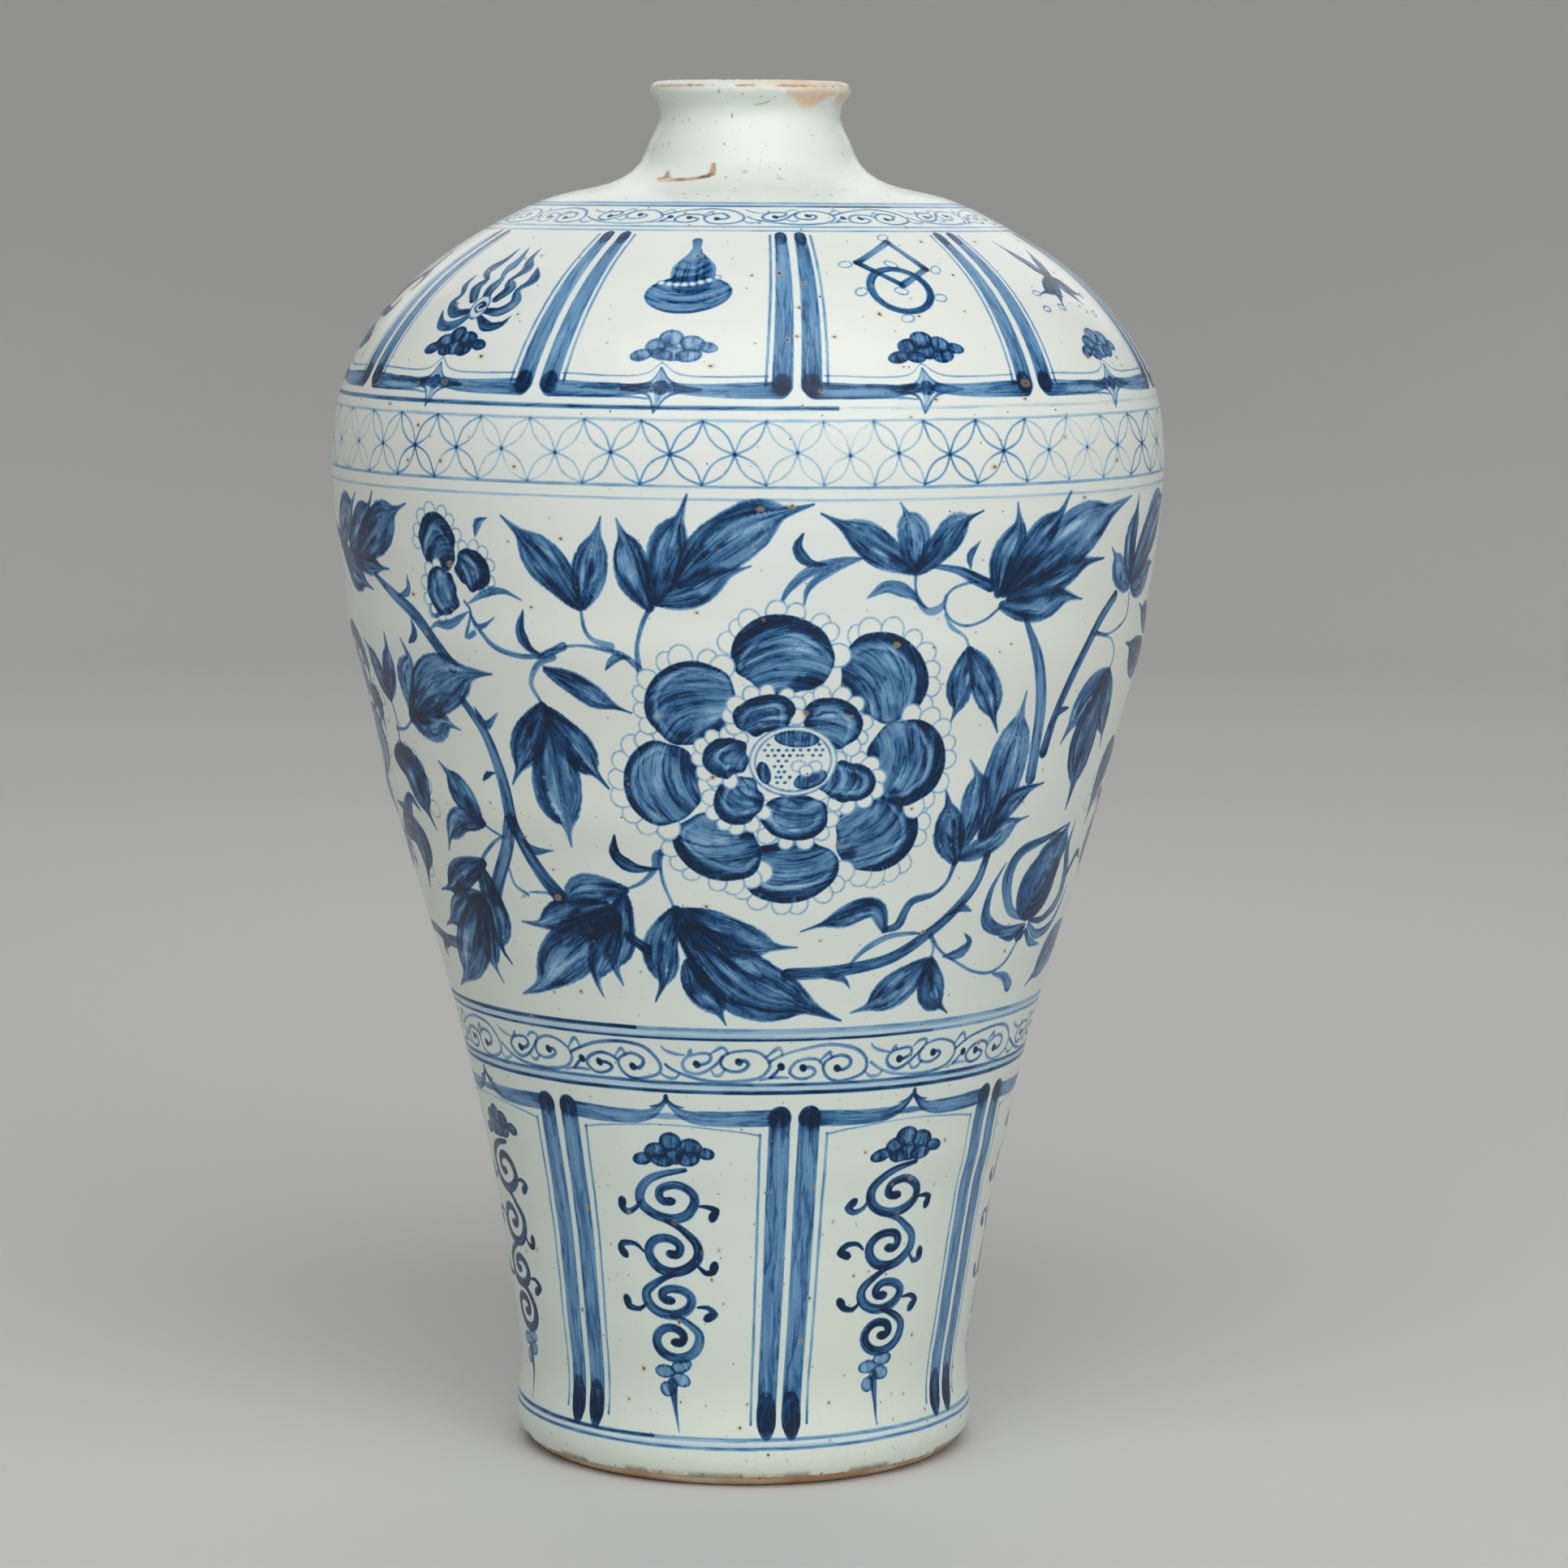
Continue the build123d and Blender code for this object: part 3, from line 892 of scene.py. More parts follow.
def lozenge_and_coin(x):
    """A lozenge and a coin hung together, with small loops round them."""
    corners = ((1.7, 399), (-7, 388.4), (-0.6, 378.4), (5.6, 385.4))
    for here, there in zip(corners, corners[1:] + corners[:1]):
        stroke(moved(x, (here, there)), (2.4, 2.0, 2.0), 0.46, (0.4, 0.4))
    around = np.linspace(0, math.tau, 19)
    hoop = [(x - 1.3 + 5.1 * math.sin(a), 376.8 + 8.7 * math.cos(a)) for a in around]
    stroke(hoop, (2.2, 2.5, 2.0, 2.5, 2.2), 0.56)
    loops = ((1.5, 401.4), (-9.3, 387.6), (7.6, 385), (-0.7, 387.6), (-8.2, 375.8),
             (5.2, 373.2), (-2, 365.6), (-1.3, 376))
    for u, v in loops:
        bead((x + u, v), (2.3, 1.6), painter.uniform(-40, 40), 0.0, 0.3)


def crossed_horns(x):
    """Six horns crossed at the middle."""
    horns = (
        (((0.8, 379), (-1.4, 387), (-3, 392), (-4.4, 399)), 3.8),
        (((0.4, 379), (2.4, 386), (3.8, 390), (5.6, 394.4)), 3.6),
        (((1.2, 382), (-2.2, 377.8), (-4.6, 375.4), (-7.4, 374.4)), 4.6),
        (((1, 382), (-1.2, 376.5), (-2.6, 372.5), (-3.6, 369.4)), 4.4),
        (((0.2, 382), (3, 377.4), (5, 374.6), (7, 373)), 4.6),
        (((0.2, 382), (2.4, 376), (3.4, 372.5), (4.4, 369.4)), 4.2),
    )
    for points, width in horns:
        lobe(moved(x, points), width, 0.8)
    for u, v in ((-8.6, 374.6), (-9, 368.4), (-4.2, 369), (7.4, 373.2), (6.2, 366)):
        bead((x + u, v), (1.9, 1.2), painter.uniform(-40, 40), 0.0, 0.4)


def coral_branch(x):
    """A branch of coral, which stands where the photograph doesn't show the emblem."""
    branches = (
        ((0, 363), (0.8, 372), (-0.6, 382), (0.4, 396)),
        ((0.4, 370), (-3, 374), (-5.6, 381), (-4.6, 388)),
        ((0.6, 374), (3.6, 378), (6, 384), (4.8, 391)),
        ((-4, 377), (-6.6, 377), (-8.2, 381), (-8, 384)),
        ((5, 381), (7.4, 381), (8.6, 377.5), (8.2, 374)),
        ((0, 366), (-4, 364.6), (-6, 367), (-6.6, 370)),
        ((0, 366), (4, 364.6), (6, 366.6), (6.6, 369.6)),
    )
    for points in branches:
        stroke(moved(x, points), (3.4, 3.8, 3.2, 1.6), 0.6, (0.2, 0.3), 5.0)


emblems = (
    (flaming_pearl, 0.95),
    (conch, 0.5),
    (lozenge_and_coin, 0.85),
    (crossed_horns, 0.6),
    (coral_branch, 0.8),
)
first_emblem = 2
for panel in range(shoulder_count):
    side = first_shoulder_side + panel * shoulder_pitch
    middle = side + shoulder_pitch / 2
    tone = painter.uniform(0.36, 0.44)
    for way in (-1, 1):
        off = way * half_gap
        top, foot = (side + off, 402.6), (side - side_lean + off, 343.6)
        between = (side - 0.8 + off, 374)
        frame_side((top, between, foot), (3.3, 4.6, 5.4, 6.0), tone, (way * 2.15, top[1]))
        bead((top[0], 401.0), (1.7, 3.4), 0, 0.42, 0.3)
        bead((foot[0], 344.0), (2.7, 3.2), 0, 0.66, 0.35)
    # The foot band comes in two strokes that meet under a star of four rays.
    left, right = side - side_lean + 2.2, side + shoulder_pitch - side_lean - 2.2
    foot_middle = (left + right) / 2
    lower = ((left, 342.2), (foot_middle - 6, 341.8), (foot_middle - 1.5, 342.8))
    stroke(lower, (5.2, 4.4, 3.0), tone, (0.6, 0.2), 6.0)
    rest = ((foot_middle + 1.5, 342.8), (foot_middle + 6, 342), (right, 342.2))
    stroke(rest, (3.0, 4.4, 5.2), tone, (0.2, 0.6), 6.0)
    vein = ((left + 2, 343.2), (foot_middle - 6, 343.2), (foot_middle - 2, 343))
    stroke(vein, (0.5, 1.8, 0.6), 0.45)
    under_line = ((left, 339.9), (foot_middle - 5, 339.9), (foot_middle - 1.6, 339.4))
    stroke(under_line, (0.6, 0.7, 0.5), 0.4)
    star = (foot_middle, 342.8)
    rays = ((-0.2, 6.0, 3.0), (-0.8, -7.4, 2.6), (-5.4, -0.6, 2.6), (5.4, -0.6, 2.6))
    for x, y, width in rays:
        tip = (star[0] + x, star[1] + y)
        half_way = ((2 * star[0] + tip[0]) / 3, (2 * star[1] + tip[1]) / 3)
        stroke((star, half_way, tip), (4.4, width, 1.0, 0.4), 0.24)
    tips = [(star[0] + x, star[1] + y) for x, y, _ in rays]
    tips = (tips[0], tips[3], tips[1], tips[2])
    for (x0, y0), (x1, y1) in zip(tips, tips[1:] + tips[:1]):
        bend_x = star[0] + 0.28 * (x0 + x1 - 2 * star[0])
        bend_y = star[1] + 0.28 * (y0 + y1 - 2 * star[1])
        stroke(((x0, y0), (bend_x, bend_y), (x1, y1)), (0.4, 0.8, 0.4), 0.5)
    cusp = ((left + 1.6, 346.6), (foot_middle - 3.4, 346.4), (foot_middle - 0.2, 350.4))
    stroke(cusp, (0.5, 0.45, 0.4), 0.34)
    cusp = ((foot_middle - 0.2, 350.4), (foot_middle + 3.4, 346.4), (right - 1.6, 346.4))
    stroke(cusp, (0.4, 0.45, 0.5), 0.34)
    emblem, cloud_tone = emblems[(panel + first_emblem) % len(emblems)]
    cloud((middle - 0.7, 355.2), 11.0, cloud_tone)
    emblem(middle)


# Peony scroll: the main band. A leafy scroll runs between large peonies, seen in turn
# full face and from the side. What the front shows is painted again on the back, by the
# same hand, with small differences.
stem_thinning = 0.85
tendril_tone = 0.42


def stem(*points, widths, tone):
    """A branch of the scroll, painted with a thinner wash than the leaves."""
    stroke(points, widths, tone * stem_thinning, (0.1, 0.3))


def tendril(*points, widths):
    """A fine stalk or a curl, drawn with the tip of the brush."""
    stroke(points, widths, tendril_tone)


def hook(*points, width, tone):
    """A small comma of a leaf, fat at its shoulder and thin at both ends."""
    stroke(points, (0.5, width * 0.75, width, width * 0.5, 0.3), tone)


def peony_face(x, y):
    """A peony seen full face: eight outer petals, six inner ones and the seed pod."""
    outer = (
        ((20.6, 212), (12.6, 12.4), 118, 3.2),
        ((19.4, 259.5), (14.2, 12.4), 42, 3.4),
        ((24, 233.5), (13.4, 12.6), 82, 3.6),
        ((5.2, 266.5), (14.6, 11.6), 4, 4.0),
        ((7.2, 200.8), (14.6, 9.8), 176, 3.4),
        ((-4, 208), (13.6, 9.6), 204, 3.4),
        ((-12, 227.5), (12.4, 11.6), 262, 1.8),
        ((-7.4, 252), (13.2, 12.6), 318, 1.8),
    )
    for (u, v), size, turn, crescent in outer:
        petal((x + u - 6.7, y + v - 234), size, turn, 0.6, crescent, (3.3, 8, 82))
    inner = (
        ((7.6, 217.6), (9.6, 7.2), 178, 1.6),
        ((-0.8, 222.6), (7.2, 7), 228, 1.8),
        ((15.2, 228), (6.2, 8.2), 96, 1.6),
        ((-2.6, 235.6), (6.2, 6.4), 284, 2.6),
        ((12.4, 246.2), (9, 7.4), 34, 2.4),
        ((2.8, 248.8), (8.6, 6), 350, 2.4),
    )
    for (u, v), size, turn, crescent in inner:
        petal((x + u - 6.7, y + v - 234), size, turn, 0.62, crescent, (2.7, 8, 112), 0.9)
    seed_pod(x + 0.4, y + 0.6)


def seed_pod(x, y):
    """The white pod at a peony's heart, with rows of small seeds."""
    bead((x, y), (12.8, 10.8), 0, 0.04, 0.36, clear=True)
    bead((x, y), (11.2, 9.4), 0, 0.0, 0.36)
    scale = mm_per_degree(y)
    lenses = ((0.4, 6.6, 6.4, 2.4, 4), (-4.2, -3.6, 1.8, 3.4, -16), (2.6, -5.6, 5.0, 2.6, -18))
    for u, v, wide, tall, turn in lenses:
        bead((x + u, y + v), (wide, tall), turn, 0.5, 0.45)
        bead((x + u + 0.3, y + v + 0.3), (wide * 0.5, tall * 0.5), turn, 0.3, 0.0)
    white_rounds = ((0.8, -1.6), (3.2, -1.8), (1.9, -3.0))
    for u, v in white_rounds:
        bead((x + u, y + v), (2.2, 1.9), 0, 0.0, 0.26, clear=True)
    seedless = (*lenses, *((u, v, 2.2, 1.9, 0) for u, v in white_rounds[:2]))
    seed_gap = 2.1
    for row in range(-5, 6):
        for column in range(-6, 7):
            u = (column + 0.5 * (row % 2) + painter.normal(0, 0.12)) * seed_gap
            v = row * seed_gap * 0.78
            on_lens = any(
                math.hypot((u / scale - a) * scale / (wide + 0.9), (v - b) / (tall + 0.7)) < 1
                for a, b, wide, tall, _ in seedless
            )
            if math.hypot(u / 9.6, v / 8) < 1 and not on_lens:
                bead((x + u / scale, y + v), (0.45, 0.36), 0, 0.62, 0.2)


def peony_side(x, y):
    """A peony seen from the side: cupped petals that curl out of a round heart."""
    for way in (-1, 1):
        curled = (
            ((14.5, 4), (19, 3.4), (22.4, -3), (24.6, -17), 12),
            ((7, -21), (13, -19), (16.6, -25), (13.5, -38), 11),
            ((2, 37), (6, 38.4), (9, 33), (8.6, 24), 12),
            ((3, 14), (8, 19), (11, 20), (12, 12), 12),
        )
        for *points, width in curled:
            ends = [(x + way * u, y + v) for u, v in points]
            for (u, v), (s, t) in zip(ends, ends[1:]):
                for share in (0.2, 0.7):
                    spot = (u + (s - u) * share + way * 2.4, v + (t - v) * share + 3)
                    bead(spot, (3, 3), 0, 0.0, 0.26, clear=True)
            lobe(ends, width, 0.85)
        heart = ((9, -11), (14, -13), (18, -8), (21, -12))
        hook(*[(x + way * u, y + v) for u, v in heart], width=6, tone=0.8)
        hook(*[(x + way * u, y + v) for u, v in ((3, -30), (7, -27), (9, -33))], width=7, tone=0.8)
    petal((x, y + 26), (15, 12), 0, 0.62, 3.4, (3, 7, 80))
    for way in (-1, 1):
        petal((x + way * 5, y + 8), (11, 10), way * 40, 0.62, 2.4, (2.4, 7, 90), 0.7)
    petal((x, y - 8), (12, 10), 180, 0.62, 2.4, (2.4, 7, 90), 0.7)
    petal((x, y - 26), (13, 8), 180, 0.62, 2.4, (2.4, 7, 80))
    bead((x, y), (7, 6), 0, 0.1, 0.5, clear=True)
    for u, v in painter.normal(0, 2.2, (26, 2)):
        bead((x + u / 2, y + v), (0.62, 0.6), 0, 0.6, 0.2)


def half_peony(x, y):
    """The small half-open peony on the scroll, with its sepals under it."""
    petal((x - 2.3, y + 6), (8, 8.4), 350, 0.72, 3, (2.4, 7, 84), 0.6)
    petal((x + 4, y - 1.5), (6.4, 6.2), 60, 0.75, 3, (2.2, 6, 84), 0.7)
    petal((x - 2.2, y - 8.5), (7, 6.6), 268, 0.56, 2, (2.2, 6, 84), 0.6)
    sepals = (
        (((2.6, -11.5), (6, -8), (9, -7.2), (12, -9.6)), 2.6),
        (((2.5, -14), (-1, -18), (-4, -18.4), (-5.8, -21)), 3.2),
        (((2.8, -14), (4, -18), (5.5, -17.4), (7.2, -15)), 2.0),
        (((-1, -13), (-4, -16), (-5, -14.6), (-4.8, -12.6)), 1.6),
    )
    for points, width in sepals:
        hook(*[(x + u, y + v) for u, v in points], width=width, tone=0.45)


def bud_width(width):
    """The breadth of a bud from its round base to its point."""
    return lambda share: width * np.interp(share, (0, 0.3, 0.6, 0.85, 1), (1, 0.9, 0.56, 0.2, 0.02))


def pomegranate_bud(x, y):
    """A bud like a pomegranate: a pointed heart held in long curved sepals."""
    heart = ((x - 1.2, y - 1), (x + 0.6, y + 5), (x + 3.0, y + 12), (x + 5.0, y + 18))
    lobe(heart, 21.5, 0.78, bud_width)
    sepals = (
        (((-2, -11), (-8, -7), (-10.8, 3), (-9, 11.5), (-2, 15), (5, 18.3)),
         (2, 3, 4.8, 3.6, 1.8, 0.3)),
        (((-2, -13.5), (-9, -13.5), (-14, -9), (-14.5, 0), (-12.2, 9)), (2, 3.2, 4.4, 2.2, 0.3)),
        (((-0.5, -12), (5, -12.5), (10, -7), (9.5, 2), (7, 10), (7.5, 18.5)),
         (1.5, 2.6, 5, 4.2, 3, 0.3)),
        (((-0.5, -13.5), (4, -17.5), (10, -16), (13, -9), (13.5, -3)), (1.5, 3.2, 3.4, 2, 0.3)),
        (((-2, -14), (-5.5, -16.5), (-9.2, -15.5)), (1.5, 2.6, 0.3)),
        (((-1, -15), (2, -19.5), (7, -21.5)), (1.5, 2.6, 0.3)),
        (((11, 1), (14, 6), (17, 4)), (2.6, 2.4, 0.3)),
    )
    for points, widths in sepals:
        stroke([(x + a, y + b) for a, b in points], widths, 0.55)
    bead((x - 2.6, y - 16.5), (2.4, 1.7), -20, 0.66, 0.4)


def scroll_half(x):
    """Half of the peony scroll, x degrees further round than the photographed front."""

    def at(*points):
        shake = painter.normal(0, 1, (len(points), 2)) * ((0.16, 0.3) if x else (0, 0))
        return [(p[0] + x + a, p[1] + b, *p[2:]) for p, (a, b) in zip(points, shake)]

    def leaf_at(*lobes, tone):
        leaf(*[(*at(*points[:-1]), points[-1]) for points in lobes], tone=tone)

    peony_side(x - 83, 223)
    for points, widths, tone in stems:
        stem(*at(*points), widths=widths, tone=tone)
    for points, widths in tendrils:
        tendril(*at(*points), widths=widths)
    for points, width, tone in hooks:
        hook(*at(*points), width=width, tone=tone)
    for lobes, tone in leaves:
        leaf_at(*lobes, tone=tone)
    half_peony(x - 43, 290)
    pomegranate_bud(x + 59.2, 190)
    peony_face(x + 6.7, 234)


# The scroll as the front shows it. Each stroke is its points, as (degrees, place), with
# its widths in mm and its tone. A leaf is its lobes, each with its breadth last.
stems = (
    (((-62, 284), (-57, 279), (-52, 274), (-48.5, 268), (-45, 259.5)), (1.6, 3.4, 4, 4, 4.8), 0.62),
    (((-44.2, 249), (-41, 240), (-39.4, 231), (-38.4, 221), (-38, 211)),
     (2.8, 3.4, 4, 4.4, 4.6), 0.62),
    (((-38.4, 213), (-40.6, 203.5), (-43.6, 194.5), (-46.2, 187)), (4.4, 4.6, 5, 5.6), 0.64),
    (((-38, 213), (-36.4, 204), (-34.2, 196.5), (-31.6, 190.5)), (3.6, 4.2, 4.6, 5.2), 0.7),
    (((41.2, 275), (44.6, 262), (47, 248), (48, 235), (48.2, 225.5)),
     (1.6, 4, 4.6, 4.6, 4.6), 0.58),
    (((62, 279), (57.5, 270.5), (53.6, 259), (51.2, 246), (50.2, 233)),
     (3.4, 3.2, 3.6, 3.4, 3.8), 0.74),
    (((42, 202.5), (41, 194), (37.8, 186.5), (33, 179), (26, 171.6), (17, 168.5),
      (7.6, 167.6)),
     (2.6, 3.2, 3.4, 3.6, 3.8, 3.8, 4), 0.66),
    (((-19.6, 178.8), (-18, 176.8), (-16.6, 175)), (3, 3, 3.4), 0.8),
    (((-96, 169), (-86, 170), (-76, 170.5), (-68, 168.6), (-59, 168.6)), (3, 4, 3.6, 4, 4.4), 0.72),
    (((-95, 264), (-96, 277), (-92.5, 288), (-86, 294.5), (-81, 295), (-77, 291.5)),
     (2.4, 2.6, 2.8, 3, 3.2, 4), 0.74),
    (((25, 291.8), (29, 290.2), (32, 287.4), (34.4, 285.2)), (1.2, 2, 3.4, 3.6), 0.72),
    (((35.4, 200.5), (34.6, 195), (32.3, 191.4), (28.6, 189.8), (27.4, 187), (26.4, 182.2),
      (24, 180.8)),
     (1.8, 1.2, 1.4, 2.4, 2.6, 3, 1.8), 0.56),
)
tendrils = (
    (((-12.4, 280), (-13.6, 275), (-14.4, 268), (-14.2, 260.5)), (1.6, 1.2, 1.8)),
    (((-14.2, 262), (-16.2, 265.6), (-19, 267.4), (-23, 268.2), (-27, 266.6), (-29, 264)),
     (2, 1.6, 0.8, 0.7, 1)),
    (((-22.2, 279), (-21.8, 273.4), (-20.6, 270), (-18, 268.4)), (1, 1.2, 2.2)),
    (((-38.6, 271), (-36, 266.4), (-32, 264.2), (-28, 265), (-25, 267.8)),
     (1.2, 1.8, 1.6, 1.8, 2.6)),
    (((-29.6, 250.5), (-30.8, 256), (-29.2, 262), (-26.6, 264.4)), (1, 1.8, 2)),
    (((-28.4, 261.5), (-27, 260), (-25.6, 258.6)), (0.6, 1, 1)),
    (((22.9, 289), (23, 285), (23.8, 280.6), (25.4, 278.3), (27.2, 280), (27.6, 283)),
     (1, 0.8, 1.8, 2.6, 1)),
    (((34, 285.8), (31.4, 286.6), (28.4, 284.6), (27.4, 280.4), (28.6, 275.8), (31.2, 273.8),
      (34.2, 275.4), (36.2, 278.4)),
     (0.8, 1, 0.8, 0.7, 0.8, 0.8, 1)),
    (((27.6, 277.4), (28.8, 273.6), (31, 270.6), (31.8, 267)), (0.7, 1.4, 0.8, 1)),
    (((-11.4, 189.5), (-12.8, 197), (-13, 204), (-11.6, 210)), (0.8, 1.2, 2.2)),
    (((-19.4, 193.6), (-16.2, 196.4), (-14, 201), (-13.4, 205.6), (-10.4, 206.4)),
     (0.8, 1.4, 2.4, 1.6)),
    (((18.6, 170.4), (21, 175), (25, 178.6), (29, 179.2), (32, 178.6)), (1, 2.2, 1.6, 0.6)),
    (((33.4, 178), (36, 172.6), (40, 168.4), (45, 164.4), (50, 163), (54, 165.8), (56.4, 172)),
     (1, 0.8, 1, 1.2, 1)),
    (((34.2, 170), (34.4, 174), (33.2, 178)), (1, 1, 1.4)),
    (((51, 162.4), (55, 160.6), (57.6, 157)), (1, 2.8, 4)),
    (((57, 268.5), (61, 267.6), (65.4, 269.6), (67.8, 273), (67.4, 279)), (1.6, 0.8, 0.8, 1)),
    (((58, 268.4), (62.4, 266), (64.4, 261.4), (64, 256.6)), (1.2, 0.8, 0.8, 1)),
    (((-58.8, 240), (-61.6, 237), (-65, 236.4)), (1, 1, 1.6)),
    (((-65, 245.4), (-64.4, 240), (-65, 232)), (1, 0.9, 1)),
    (((-39.4, 208.4), (-42.4, 206), (-46, 201), (-47.6, 197.6)), (0.6, 1.2, 1.4)),
    (((-41, 197), (-40.4, 192.2), (-38, 189.6)), (1, 1, 1.4)),
    (((-37.4, 190.4), (-34, 190.8), (-31, 189)), (0.5, 1, 0.8)),
    (((-40, 207), (-42, 208.4), (-44, 210.4)), (0.6, 1, 1)),
    (((-39.6, 270), (-41, 268.8), (-40, 276), (-41, 279)), (2, 1, 1)),
)
hooks = (
    (((-19, 261.4), (-17.6, 264.8), (-15.4, 265.2)), 2.6, 0.5),
    (((7.5, 301.5), (6.8, 297.4), (8.2, 293.4), (10.6, 292.6)), 3.6, 0.62),
    (((31, 290.6), (30.8, 294.4), (32.2, 298.4)), 2.6, 0.5),
    (((4.6, 280.4), (5.8, 285.6), (8.4, 290.6), (12, 293.6), (16, 294.6)), 3.4, 0.42),
    (((7.8, 281), (8.4, 286), (11, 290.6), (16, 294.8)), 2.8, 0.42),
    (((16.3, 282.8), (19, 286), (22.4, 283.6), (24.8, 279.2)), 4.4, 0.46),
    (((-20, 211), (-20.2, 204.6), (-17.4, 200.8), (-13.2, 200.8)), 4.2, 0.72),
    (((14, 166.6), (17.4, 165.8), (19, 162.6)), 2.4, 0.5),
    (((41, 184.6), (38.6, 186), (36.2, 184)), 2.6, 0.5),
    (((36.8, 170.6), (40.4, 171), (42.4, 174.2), (40.7, 177.4)), 4.0, 0.55),
    (((54, 246.2), (52, 245.4), (51.2, 242.4)), 2.4, 0.5),
    (((-31, 277.6), (-31.6, 271.6), (-30.2, 266.6), (-28, 264.6)), 3.6, 0.66),
    (((-38, 298.4), (-37.4, 302.4), (-35.8, 304)), 3, 0.5),
    (((-52.8, 285.2), (-53, 280.4), (-56, 278.6)), 2.6, 0.55),
    (((-54, 265), (-52.2, 268), (-52.8, 272.6)), 3.2, 0.5),
    (((-42, 247), (-40.4, 241.8), (-37.6, 246)), 3, 0.5),
    (((-42.8, 224.6), (-41.6, 226.6), (-40, 227.4)), 2.2, 0.55),
    (((-37.6, 208.4), (-35, 204.2), (-31, 204.6)), 3, 0.55),
    (((-71, 162), (-71.4, 166), (-66, 167.6)), 3.6, 0.66),
    (((76, 194.4), (73, 196.6), (70.2, 191.4)), 2.8, 0.55),
)
